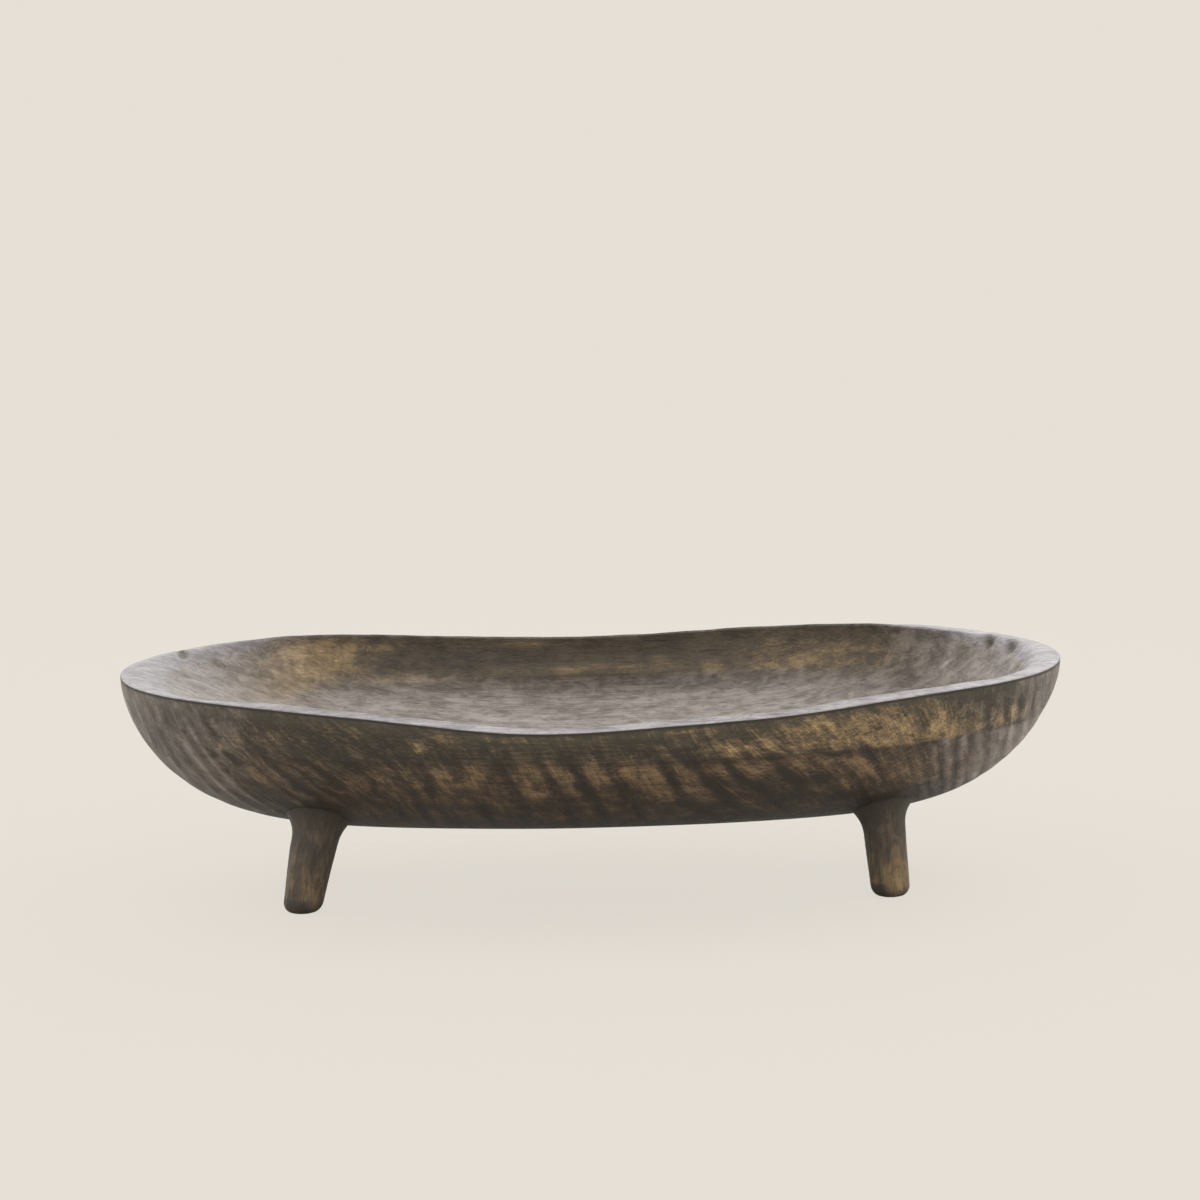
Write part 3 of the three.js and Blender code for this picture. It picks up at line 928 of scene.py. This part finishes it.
def leg_ring(axis, radius, z):
    x, y = axis(z)
    ring_x, ring_y = x + radius * np.cos(LEG_ANGLES), y + radius * np.sin(LEG_ANGLES)
    return np.stack([ring_x, ring_y, z + 0 * LEG_ANGLES], axis=1)


def leg_top(axis, radius):
    """Height at which lines of the leg meet the dish, with a little of each sunk into the glue."""
    z = np.full(LEG_ANGLES.shape, GROUND_CLEARANCE)
    for _ in range(SEARCH_STEPS):
        x, y = axis(z)
        z = underside_height(x + radius * np.cos(LEG_ANGLES), y + radius * np.sin(LEG_ANGLES)) + LEG_SUNK
    return z


def leg_height(share, top):
    """Height at a share of the rings, and how much the rounded edge of the foot takes off the radius."""
    edge_turn = np.clip(share / FOOT_EDGE_SHARE, 0, 1) * np.pi / 2
    above = np.clip((share - FOOT_EDGE_SHARE) / (1 - FOOT_EDGE_SHARE), 0, 1)
    in_edge = share < FOOT_EDGE_SHARE
    z = np.where(in_edge, FOOT_EDGE * (1 - np.cos(edge_turn)), lerp(FOOT_EDGE, top, above))
    return z, FOOT_EDGE * (1 - np.sin(edge_turn))


def filed_facets(z, seed):
    """Long flat cuts filed round a leg by eye."""
    drift = 0.5 * math.sin(40 * float(np.mean(z)) + seed) + seed
    return FACET_DEPTH * scallop(LEG_FACETS * LEG_ANGLES / (2 * np.pi) + drift)


def leg_rings(leg):
    """Rings of a leg from the sole to the middle of its top, and how far below its top each point lies."""
    axis = leg_axis(leg)
    neck = leg["neck"] / 2
    top = leg_top(axis, neck + FLARE_WIDTH)
    seed = leg["end"] * 3.1 + leg["row"] * 1.7
    rings, downs = [], []
    for share in np.linspace(0, 1, LEG_RINGS):
        z, rounded = leg_height(share, top)
        below = np.clip((top - z) / FLARE_HEIGHT, 0, 1)
        taper = lerp(FOOT_RADIUS, neck, np.minimum(z, GROUND_CLEARANCE) / GROUND_CLEARANCE)
        radius = taper + FLARE_WIDTH * (1 - below) ** FLARE_CURVE - rounded
        radius = radius - filed_facets(z, seed) * np.clip(share / 0.1, 0, 1) * below
        rings.append(leg_ring(axis, radius, z))
        downs.append(top - z)
    for share in LEG_TOP_SHARES:
        radius = (neck + FLARE_WIDTH) * share
        rings.append(leg_ring(axis, radius, leg_top(axis, radius)))
        downs.append(0 * top)
    return np.array(rings), np.array(downs)


def leg_mesh(place, leg):
    rings, down = leg_rings(leg)
    axis = leg_axis(leg)
    middle = float(leg_top(axis, 0.0)[0])
    mesh = closed_mesh(f"filed_leg_{place}", rings, (*axis(0.0), 0.0), (*axis(middle), middle))
    turn = np.broadcast_to(LEG_ANGLES, down.shape)
    girth = leg["neck"] / 2
    # The worn side is also where painted light falls
    towards = 0.5 + 0.5 * np.cos(turn - math.radians(leg["lit_worn_side"]))
    # stained marks the side of each foot that is darker low down
    stained = soft_step(-0.15, 0.45, np.cos(turn - math.radians(leg["foot_side"])))
    values = {
        "stroke": np.stack([girth * np.cos(turn), girth * np.sin(turn), down], axis=2),
        "down": down,
        "rub": leg["wear"] * towards * soft_step(leg["worn_to"], 0.0, rings[..., 2]),
        "dark": 0.8 * stained * soft_step(0.0105, 0.0080, rings[..., 2]),
    }
    for name, value in values.items():
        store(mesh, name, with_poles(value))
    return mesh


def make_legs(material):
    for seed, (place, leg) in enumerate(LEGS.items(), FIRST_LEG_SEED):
        mesh = leg_mesh(place, leg)
        store(mesh, "seed", np.full(len(mesh.vertices), float(seed)))
        add_piece(f"filed_leg_{place}", mesh, material, f"leg_{place}")


# Node helpers: each adds nodes to a tree and gives back what the next one needs


def plug(tree, value, socket):
    if isinstance(value, bpy.types.NodeSocket):
        tree.links.new(value, socket)
    else:
        socket.default_value = value


def add_node(tree, kind, inputs, **settings):
    node = tree.nodes.new(kind)
    for name, value in settings.items():
        setattr(node, name, value)
    for name, value in inputs.items():
        plug(tree, value, node.inputs[name])
    return node


def calc(tree, operation, first, second=0.0, clamp=False):
    node = add_node(tree, "ShaderNodeMath", {0: first, 1: second}, operation=operation, use_clamp=clamp)
    return node.outputs[0]


def chain(tree, operation, values, clamp):
    """One operation over two or more values. With clamp, the result is kept from 0 to 1."""
    result = values[0]
    for value in values[1:-1]:
        result = calc(tree, operation, result, value)
    return calc(tree, operation, result, values[-1], clamp)


def total(tree, *values, clamp=False):
    return chain(tree, "ADD", values, clamp)


def product(tree, *values, clamp=False):
    return chain(tree, "MULTIPLY", values, clamp)


def weighted(tree, *terms):
    """The sum of values, each times its weight."""
    return total(tree, *(product(tree, value, weight) for value, weight in terms))


def fit_range(tree, value, low, high, to_low=0.0, to_high=1.0):
    """Moves a value smoothly from one range to another."""
    inputs = {"Value": value, "From Min": low, "From Max": high, "To Min": to_low, "To Max": to_high}
    return add_node(tree, "ShaderNodeMapRange", inputs, interpolation_type="SMOOTHSTEP").outputs["Result"]


def varied(tree, value, to_low, to_high):
    """Moves a value smoothly from between 0 and 1 to another range."""
    return fit_range(tree, value, 0.0, 1.0, to_low, to_high)


def centred(tree, value, spread):
    """Moves a value from between 0 and 1 to lie evenly about 0."""
    return product(tree, total(tree, value, -0.5), spread)


def blend(tree, share, first, second):
    """A colour between two others."""
    node = add_node(tree, "ShaderNodeMix", {"Factor": share}, data_type="RGBA")
    plug(tree, first, node.inputs[6])
    plug(tree, second, node.inputs[7])
    return node.outputs[2]


def vector_calc(tree, operation, first, second=(0.0, 0.0, 0.0), output="Vector"):
    node = add_node(tree, "ShaderNodeVectorMath", {0: first, 1: second}, operation=operation)
    return node.outputs[output]


def speckle(tree, vector, scale, detail, roughness, distortion):
    """Noise with as many bumps to the metre along each axis as the scale says."""
    inputs = {"Vector": vector_calc(tree, "MULTIPLY", vector, scale), "Scale": 1.0, "Detail": detail,
              "Roughness": roughness, "Distortion": distortion}
    return add_node(tree, "ShaderNodeTexNoise", inputs).outputs["Fac"]


def layer(tree, vector, scale, detail, roughness, distortion, low, high):
    """Noise of which the stretch from low to high is spread from 0 to 1."""
    return fit_range(tree, speckle(tree, vector, scale, detail, roughness, distortion), low, high)


def object_place(tree):
    return add_node(tree, "ShaderNodeTexCoord", {}).outputs["Object"]


def upright_place(tree):
    """The place on the object with its height first, so that the grain runs up, and the height by itself."""
    parts = add_node(tree, "ShaderNodeSeparateXYZ", {0: object_place(tree)}).outputs
    turned = add_node(tree, "ShaderNodeCombineXYZ", {"X": parts["Z"], "Y": parts["X"], "Z": parts["Y"]})
    return turned.outputs[0], parts["Z"]


def kept(tree, name, output="Fac"):
    return add_node(tree, "ShaderNodeAttribute", {}, attribute_name=name).outputs[output]


def new_group(name, inputs, outputs):
    """A node group with named sockets, and its two end nodes."""
    group = bpy.data.node_groups.new(name, "ShaderNodeTree")
    for socket, kind in inputs.items():
        group.interface.new_socket(socket, in_out="INPUT", socket_type=kind)
    for socket, kind in outputs.items():
        group.interface.new_socket(socket, in_out="OUTPUT", socket_type=kind)
    return group, group.nodes.new("NodeGroupInput"), group.nodes.new("NodeGroupOutput")


def use_group(tree, group, inputs):
    node = tree.nodes.new("ShaderNodeGroup")
    node.node_tree = group
    for name, value in inputs.items():
        plug(tree, value, node.inputs[name])
    return node


VALUE, VECTOR, COLOUR = "NodeSocketFloat", "NodeSocketVector", "NodeSocketColor"

# Timber grain along X: scale, detail, roughness, distortion, and the stretch of the noise that is
# spread from 0 to 1
GRAIN_LAYERS = {
    "Figure": ((9, 70, 70), 4.0, 0.60, 0.6, 0.34, 0.66),
    "Fibre": ((38, 700, 700), 4.0, 0.65, 0.4, 0.34, 0.66),
    "Fine": ((140, 1900, 1900), 2.0, 0.50, 0.0, 0.32, 0.68),
    "Pores": ((190, 1500, 1500), 1.0, 0.40, 0.0, 0.66, 0.74),
}
SEED_STEPS = (3.7, 1.9, 2.3)
FIRST_LEG_SEED = 20
DOWEL_SEED = 31.0


def grain_group():
    """Timber grain along one axis: broad figure, fibre streaks and short open pores."""
    group, start, end = new_group(
        "timber grain", {"Place": VECTOR, "Seed": VALUE}, {name: VALUE for name in GRAIN_LAYERS})
    steps = [product(group, start.outputs["Seed"], step) for step in SEED_STEPS]
    shift = add_node(group, "ShaderNodeCombineXYZ", dict(zip("XYZ", steps))).outputs[0]
    place = vector_calc(group, "ADD", start.outputs["Place"], shift)
    for name, settings in GRAIN_LAYERS.items():
        plug(group, layer(group, place, *settings), end.inputs[name])
    return group


def tool_group():
    """Marks of edge tools: broad cuts along the stroke and fine scratches both ways."""
    group, start, end = new_group(
        "tool marks",
        {"Stroke": VECTOR, "Cross": VECTOR},
        {"Cuts": VALUE, "Scratches": VALUE, "Patches": VALUE})
    stroke, cross = start.outputs["Stroke"], start.outputs["Cross"]
    cuts = layer(group, stroke, (150, 150, 26), 3.0, 0.60, 0.4, 0.36, 0.64)
    patches = layer(group, stroke, (90, 90, 75), 5.0, 0.68, 0.6, 0.34, 0.66)
    one_way = layer(group, stroke, (820, 820, 90), 3.0, 0.65, 0.8, 0.50, 0.66)
    other_way = layer(group, cross, (820, 820, 90), 3.0, 0.65, 0.8, 0.58, 0.74)
    plug(group, cuts, end.inputs["Cuts"])
    plug(group, calc(group, "MAXIMUM", one_way, other_way), end.inputs["Scratches"])
    plug(group, patches, end.inputs["Patches"])
    return group


def stain_group():
    """Colour of stained timber, from where the stain is thick (0) to where it is rubbed to gold (1)."""
    group, start, end = new_group(
        "rubbed stain",
        {"Rubbed": VALUE, "Dark Lines And Shade": VALUE, "Band": VALUE, "Pale": VALUE, "Tone": VALUE, "Dark": COLOUR,
         "Brown": COLOUR, "Gold": COLOUR, "Bright": COLOUR, "Dark Lines And Shade Colour": COLOUR, "Band Colour": COLOUR,
         "Pale Low": COLOUR, "Pale High": COLOUR},
        {"Color": COLOUR})
    share, colours = start.outputs["Rubbed"], start.outputs
    colour = blend(group, fit_range(group, share, 0.0, 0.40), colours["Dark"], colours["Brown"])
    colour = blend(group, fit_range(group, share, 0.32, 0.70), colour, colours["Gold"])
    colour = blend(group, fit_range(group, share, 0.66, 1.00), colour, colours["Bright"])
    colour = blend(group, colours["Band"], colour, colours["Band Colour"])
    # Painted grey sheen over the stain, from its darker to its lighter shade
    painted_sheen = blend(group, colours["Tone"], colours["Pale Low"], colours["Pale High"])
    colour = blend(group, colours["Pale"], colour, painted_sheen)
    colour = blend(group, colours["Dark Lines And Shade"], colour, colours["Dark Lines And Shade Colour"])
    plug(group, colour, end.inputs["Color"])
    return group


def glue_group():
    """Thin dark lines where the sawn faces of two boards meet."""
    group, start, end = new_group(
        "glue lines",
        {"Place": VECTOR, "Low": VECTOR, "High": VECTOR, "Width": VALUE},
        {"Line": VALUE})
    nearest = 1.0
    for corner in ("Low", "High"):
        gap = vector_calc(group, "SUBTRACT", start.outputs["Place"], start.outputs[corner])
        away = add_node(group, "ShaderNodeSeparateXYZ", {0: vector_calc(group, "ABSOLUTE", gap)})
        for axis in ("X", "Y", "Z"):
            nearest = calc(group, "MINIMUM", away.outputs[axis], nearest)
    share = calc(group, "DIVIDE", nearest, start.outputs["Width"])
    plug(group, fit_range(group, share, 0.3, 1.0, 1.0, 0.0), end.inputs["Line"])
    return group


def empty_tree(owner):
    """The emptied node tree of a material or a world."""
    owner.use_nodes = True
    owner.node_tree.nodes.clear()
    return owner.node_tree


def new_material(name):
    material = bpy.data.materials.new(name)
    tree = empty_tree(material)
    shader = add_node(tree, "ShaderNodeBsdfPrincipled", {})
    add_node(tree, "ShaderNodeOutputMaterial", {"Surface": shader.outputs["BSDF"]})
    return material, tree, shader


def dress(tree, shader, colour, roughness, relief, size):
    """Gives a shader its colour, its roughness, and its relief as a bump of a strength and a depth."""
    strength, depth = size
    bump = add_node(tree, "ShaderNodeBump", {"Height": relief, "Strength": strength, "Distance": depth})
    plug(tree, colour, shader.inputs["Base Color"])
    plug(tree, roughness, shader.inputs["Roughness"])
    plug(tree, bump.outputs["Normal"], shader.inputs["Normal"])


# Stain, from where it lies thick to where it is rubbed through, then dark lines and painted shade, the band
# under the rim and the painted grey sheen
SHEEN_SHADES = {"Pale Low": (124, 114, 107), "Pale High": (186, 176, 168)}
# Cooler shades of the painted sheen on the rim
RIM_SHADES = {"Pale Low": (132, 126, 124), "Pale High": (188, 182, 182)}
# Each lower layer of boards is darker, partly in its own tone and partly as painted shade of the lower dish
BOARD_SHADES = {
    "top_boards": {
        "Dark": (64, 58, 50), "Brown": (98, 86, 70), "Gold": (150, 127, 94), "Bright": (204, 174, 126),
        "Dark Lines And Shade Colour": (54, 50, 42), "Band Colour": (88, 83, 67), **SHEEN_SHADES},
    "middle_boards": {
        "Dark": (58, 51, 43), "Brown": (90, 76, 62), "Gold": (132, 109, 83), "Bright": (166, 139, 105),
        "Dark Lines And Shade Colour": (48, 43, 37), "Band Colour": (84, 78, 64), **SHEEN_SHADES},
    "bottom_boards": {
        "Dark": (53, 47, 40), "Brown": (84, 71, 59), "Gold": (122, 101, 78), "Bright": (156, 130, 98),
        "Dark Lines And Shade Colour": (46, 41, 36), "Band Colour": (76, 71, 58), **SHEEN_SHADES},
}
LEG_SHADES = {
    "Dark": (66, 58, 48), "Brown": (94, 81, 65), "Gold": (128, 107, 78), "Bright": (160, 134, 94),
    "Dark Lines And Shade Colour": (50, 44, 38), "Band Colour": (80, 76, 58),
    "Pale Low": (120, 112, 104), "Pale High": (150, 142, 134)}
BEECH_SHADES = {"Fibre Low": (168, 132, 92), "Fibre High": (204, 170, 126), "Pores": (122, 90, 60)}
BAND_FADE = (0.004, 0.014)
EDGE_LINE_FADE = (0.0006, 0.0022)
GLUE_LINE_WIDTH = 0.0005
BOARD_GLOSS = 0.38
WAX_IOR = 1.46

# Relief of a finish: how strong its bump is, and how deep in metres
BOARD_RELIEF = (0.8, 0.00032)
LEG_RELIEF = (0.8, 0.0006)
DOWEL_RELIEF = (0.5, 0.0001)


def board_wear(tree, grain, marks, at):
    """How far the stain is rubbed through, by hand and broken up by the grain and the tool marks."""
    scratches = product(tree, total(tree, marks["Scratches"], -0.35),
                        fit_range(tree, at["rub"], 0.0, 0.6, 0.10, 0.26))
    changes = total(
        tree, centred(tree, grain["Fibre"], 0.30), centred(tree, grain["Fine"], 0.18), scratches,
        varied(tree, marks["Cuts"], -0.09, 0.09), varied(tree, marks["Patches"], -0.11, 0.12))
    return total(
        tree,
        product(tree, at["rub"], varied(tree, marks["Patches"], 0.42, 0.56)),
        product(tree, changes, varied(tree, at["outside"], 0.48, 1.0)),
        varied(tree, grain["Figure"], -0.05, 0.05),
        varied(tree, at["outside"], 0.25, 0.16),
        # The dark value darkens the stain with painted shade, and the pores darken it too
        weighted(tree, (at["dark"], -0.30), (grain["Pores"], -0.12)),
        clamp=True)


def rim_band(tree, marks, at):
    """A duller band outside, just under the rim."""
    return product(
        tree, fit_range(tree, at["down"], *BAND_FADE, 0.55, 0.0), at["outside"],
        varied(tree, marks["Patches"], 1.0, 0.30), varied(tree, marks["Scratches"], 1.0, 0.55))


def board_dark_lines(tree, glue, at):
    """Dark along the outer edge of the rim and, faintly, on the glue lines where no painted sheen lies."""
    edge_line = product(tree, fit_range(tree, at["down"], *EDGE_LINE_FADE, 0.85, 0.0), at["outside"])
    glue_line = product(
        tree, glue, fit_range(tree, at["pale"], 0.0, 0.5, 1.0, 0.0), varied(tree, at["outside"], 0.03, 0.08))
    return calc(tree, "MAXIMUM", edge_line, glue_line)


def sheen_tone(tree, grain, marks, at):
    """How light the painted grey sheen is, with the painted highlights and the darker places added."""
    return total(
        tree, varied(tree, grain["Fibre"], 0.34, 0.74), varied(tree, marks["Cuts"], -0.14, 0.14),
        varied(tree, marks["Patches"], -0.14, 0.14), varied(tree, marks["Scratches"], 0.10, -0.26),
        product(tree, at["light"], 0.6), clamp=True)


def sheen_cover(tree, marks, at):
    """How much the painted grey sheen covers the stain, more on the ridges with a painted highlight."""
    cover = total(
        tree, at["pale"], varied(tree, marks["Patches"], -0.10, 0.06),
        fit_range(tree, at["light"], 0.4, 1.0, 0.0, 0.5))
    return product(tree, cover, fit_range(tree, at["pale"], 0.0, 0.1, 0.0, 1.0), clamp=True)


def board_material(name, groups, shades):
    """Hand-carved stained board: gold where rubbed, painted shade and thick stain in the hollows, painted
    grey sheen on the rim.
    """
    material, tree, shader = new_material(name)
    place = object_place(tree)
    at = {value: kept(tree, value) for value in ("outside", "rim", "dark", "rub", "down", "pale", "light")}
    grain = use_group(tree, groups["grain"], {"Place": place, "Seed": kept(tree, "seed")}).outputs
    marks = use_group(tree, groups["tools"], {
        "Stroke": kept(tree, "stroke", "Vector"), "Cross": kept(tree, "cross_stroke", "Vector")}).outputs
    glue = use_group(tree, groups["glue"], {
        "Place": place, "Low": kept(tree, "sawn_low", "Vector"), "High": kept(tree, "sawn_high", "Vector"),
        "Width": GLUE_LINE_WIDTH}).outputs["Line"]
    warm = {key: linear(value) for key, value in shades.items()}
    cool = {key: blend(tree, at["rim"], warm[key], linear(value)) for key, value in RIM_SHADES.items()}
    colour = use_group(tree, groups["stain"], {
        "Rubbed": board_wear(tree, grain, marks, at), "Dark Lines And Shade": board_dark_lines(tree, glue, at),
        "Band": rim_band(tree, marks, at), "Pale": sheen_cover(tree, marks, at),
        "Tone": sheen_tone(tree, grain, marks, at), **warm, **cool}).outputs["Color"]
    roughness = total(tree, varied(tree, grain["Fibre"], 0.40, 0.50), product(tree, marks["Scratches"], 0.08))
    relief = weighted(
        tree, (grain["Fibre"], 0.30), (grain["Fine"], 0.12), (grain["Pores"], -0.35),
        (marks["Scratches"], -0.45), (marks["Cuts"], 0.9))
    dress(tree, shader, colour, roughness, relief, BOARD_RELIEF)
    shader.inputs["Specular IOR Level"].default_value = BOARD_GLOSS
    shader.inputs["IOR"].default_value = WAX_IOR
    return material


def leg_wear(tree, grain, streaks, blotches, height):
    """How far a leg's stain is rubbed through, with painted light on the worn side: least at the joint and
    the sole.
    """
    worn = total(
        tree, kept(tree, "rub"), fit_range(tree, blotches, 0.36, 0.64, -0.16, 0.26),
        fit_range(tree, streaks, 0.36, 0.64, -0.12, 0.14))
    worn = product(
        # Less gold near the top of the leg, as painted shade under the dish
        tree, worn, fit_range(tree, kept(tree, "down"), 0.002, 0.022, 0.25, 1.0),
        fit_range(tree, height, 0.001, 0.010, 0.45, 1.0))
    return total(
        tree, worn, varied(tree, grain["Fibre"], -0.08, 0.08),
        weighted(tree, (kept(tree, "dark"), -0.5), (grain["Pores"], -0.1)), clamp=True)


def leg_material(groups):
    """Filed, stained leg with its grain upright: gold and painted light on the worn side, painted shade at
    the joint, dark at the foot.
    """
    material, tree, shader = new_material("filed stained leg")
    place, height = upright_place(tree)
    grain = use_group(tree, groups["grain"], {"Place": place, "Seed": kept(tree, "seed")}).outputs
    stroke = kept(tree, "stroke", "Vector")
    streaks = speckle(tree, stroke, (420, 420, 60), 4.0, 0.65, 0.8)
    blotches = speckle(tree, stroke, (110, 110, 80), 5.0, 0.65, 0.6)
    colour = use_group(tree, groups["stain"], {
        "Rubbed": leg_wear(tree, grain, streaks, blotches, height),
        # Painted shade where the leg meets the dish
        "Dark Lines And Shade": fit_range(tree, kept(tree, "down"), 0.0, 0.003, 0.8, 0.0),
        "Band": 0.0, "Pale": 0.0, "Tone": 0.5,
        **{key: linear(value) for key, value in LEG_SHADES.items()},
    }).outputs["Color"]
    relief = total(tree, streaks, product(tree, grain["Fine"], 0.4))
    roughness = fit_range(tree, streaks, 0.3, 0.7, 0.42, 0.55)
    dress(tree, shader, colour, roughness, relief, LEG_RELIEF)
    return material


def dowel_material(groups):
    """Bare beech pin with fine grain along it."""
    material, tree, shader = new_material("bare beech dowel")
    place, _ = upright_place(tree)
    grain = use_group(tree, groups["grain"], {"Place": place, "Seed": DOWEL_SEED}).outputs
    shades = {key: linear(value) for key, value in BEECH_SHADES.items()}
    colour = blend(tree, grain["Fibre"], shades["Fibre Low"], shades["Fibre High"])
    colour = blend(tree, product(tree, grain["Pores"], 0.6), colour, shades["Pores"])
    roughness = fit_range(tree, grain["Fine"], 0.3, 0.7, 0.6, 0.75)
    dress(tree, shader, colour, roughness, grain["Fibre"], DOWEL_RELIEF)
    return material


def make_materials():
    groups = {"grain": grain_group(), "tools": tool_group(), "stain": stain_group(), "glue": glue_group()}
    materials = {slot: board_material(f"stained {slot.replace('_', ' ')}", groups, shades)
                 for slot, shades in BOARD_SHADES.items()}
    materials["legs"] = leg_material(groups)
    materials["dowels"] = dowel_material(groups)
    return materials


def finish_dowels(material):
    for place in LEGS:
        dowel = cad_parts[f"leg_dowel_{place}"]
        dowel.data.materials.clear()
        dowel.data.materials.append(material)


# Studio


def floor_material():
    """Evenly lit, with a soft shadow, to the camera and to reflections, and duller to other light."""
    material = bpy.data.materials.new("pale floor")
    tree = empty_tree(material)
    path = add_node(tree, "ShaderNodeLightPath", {}).outputs
    away = vector_calc(tree, "LENGTH", object_place(tree), output="Value")
    full_share = calc(tree, "MAXIMUM", calc(tree, "SUBTRACT", 1.0, path["Is Camera Ray"]), SHADOW_SHARE)
    shadowed = product(tree, fit_range(tree, away, SHADOW_NEAR, SHADOW_FAR, 1.0, 0.0), full_share)
    glow = add_node(tree, "ShaderNodeEmission", {"Color": linear(BACKGROUND), "Strength": 1.0}).outputs[0]
    lit = add_node(tree, "ShaderNodeBsdfDiffuse", {"Color": linear(LIT_FLOOR)}).outputs[0]
    shown = add_node(tree, "ShaderNodeMixShader", {0: shadowed, 1: glow, 2: lit}).outputs[0]
    bounce = add_node(tree, "ShaderNodeBsdfDiffuse", {"Color": linear(BOUNCE_FLOOR)}).outputs[0]
    reflected = calc(tree, "MAXIMUM", path["Is Glossy Ray"], path["Is Transmission Ray"])
    seen = calc(tree, "MAXIMUM", path["Is Camera Ray"], reflected)
    surface = add_node(tree, "ShaderNodeMixShader", {0: seen, 1: bounce, 2: shown}).outputs[0]
    add_node(tree, "ShaderNodeOutputMaterial", {"Surface": surface})
    return material


def make_floor():
    """A pale floor that fills the frame."""
    corners = [(x * FLOOR_REACH, y * FLOOR_REACH, 0) for x, y in ((-1, -1), (1, -1), (1, 1), (-1, 1))]
    mesh = bpy.data.meshes.new("floor")
    mesh.from_pydata(corners, [], [(0, 1, 2, 3)])
    mesh.materials.append(floor_material())
    floor = bpy.data.objects.new("floor", mesh)
    bpy.context.scene.collection.objects.link(floor)


def make_world():
    """Soft even studio light, a little brighter behind the dish than in front of it."""
    world = bpy.data.worlds.new("studio")
    bpy.context.scene.world = world
    tree = empty_tree(world)
    way = add_node(tree, "ShaderNodeTexCoord", {}).outputs["Generated"]
    parts = add_node(tree, "ShaderNodeSeparateXYZ", {0: way}).outputs
    behind = fit_range(tree, parts["Y"], -0.9, 0.9, 0.92, 1.05)
    backdrop = add_node(tree, "ShaderNodeBackground", {"Color": (1, 1, 1, 1), "Strength": behind}).outputs[0]
    add_node(tree, "ShaderNodeOutputWorld", {"Surface": backdrop})


def add_softbox(name, place, aim, width, height, power):
    light = bpy.data.lights.new(name, "AREA")
    light.shape = "RECTANGLE"
    light.size = width
    light.size_y = height
    light.energy = power
    lamp = bpy.data.objects.new(name, light)
    lamp.location = place
    lamp.rotation_mode = "QUATERNION"
    lamp.rotation_quaternion = (Vector(aim) - Vector(place)).to_track_quat("-Z", "Y")
    lamp.visible_camera = False
    bpy.context.scene.collection.objects.link(lamp)


def make_lights():
    for name, settings in SOFTBOXES.items():
        add_softbox(name, *settings)


def make_camera():
    data = bpy.data.cameras.new("camera")
    data.lens = CAMERA_LENS
    data.sensor_width = CAMERA_SENSOR
    camera = bpy.data.objects.new("camera", data)
    azimuth, elevation = math.radians(CAMERA_AZIMUTH), math.radians(CAMERA_ELEVATION)
    back = Vector((math.sin(azimuth) * math.cos(elevation), -math.cos(azimuth) * math.cos(elevation),
                   math.sin(elevation)))
    camera.location = TARGET + back * CAMERA_DISTANCE
    facing = (-back).to_track_quat("-Z", "Y")
    roll = Quaternion((0, 0, 1), math.radians(-CAMERA_ROLL))
    focal = CAMERA_LENS / CAMERA_SENSOR * PHOTO_SIZE
    across = (TARGET_PIXEL[0] - PHOTO_SIZE / 2) / focal
    down = (TARGET_PIXEL[1] - PHOTO_SIZE / 2) / focal
    aim = Vector((across, -down, -1)).rotation_difference(Vector((0, 0, -1)))
    camera.rotation_mode = "QUATERNION"
    camera.rotation_quaternion = facing @ roll @ aim
    bpy.context.scene.collection.objects.link(camera)
    bpy.context.scene.camera = camera


bpy.context.scene.view_settings.view_transform = "Standard"
make_camera()
materials = make_materials()
make_boards(materials)
make_legs(materials["legs"])
finish_dowels(materials["dowels"])
make_floor()
make_world()
make_lights()
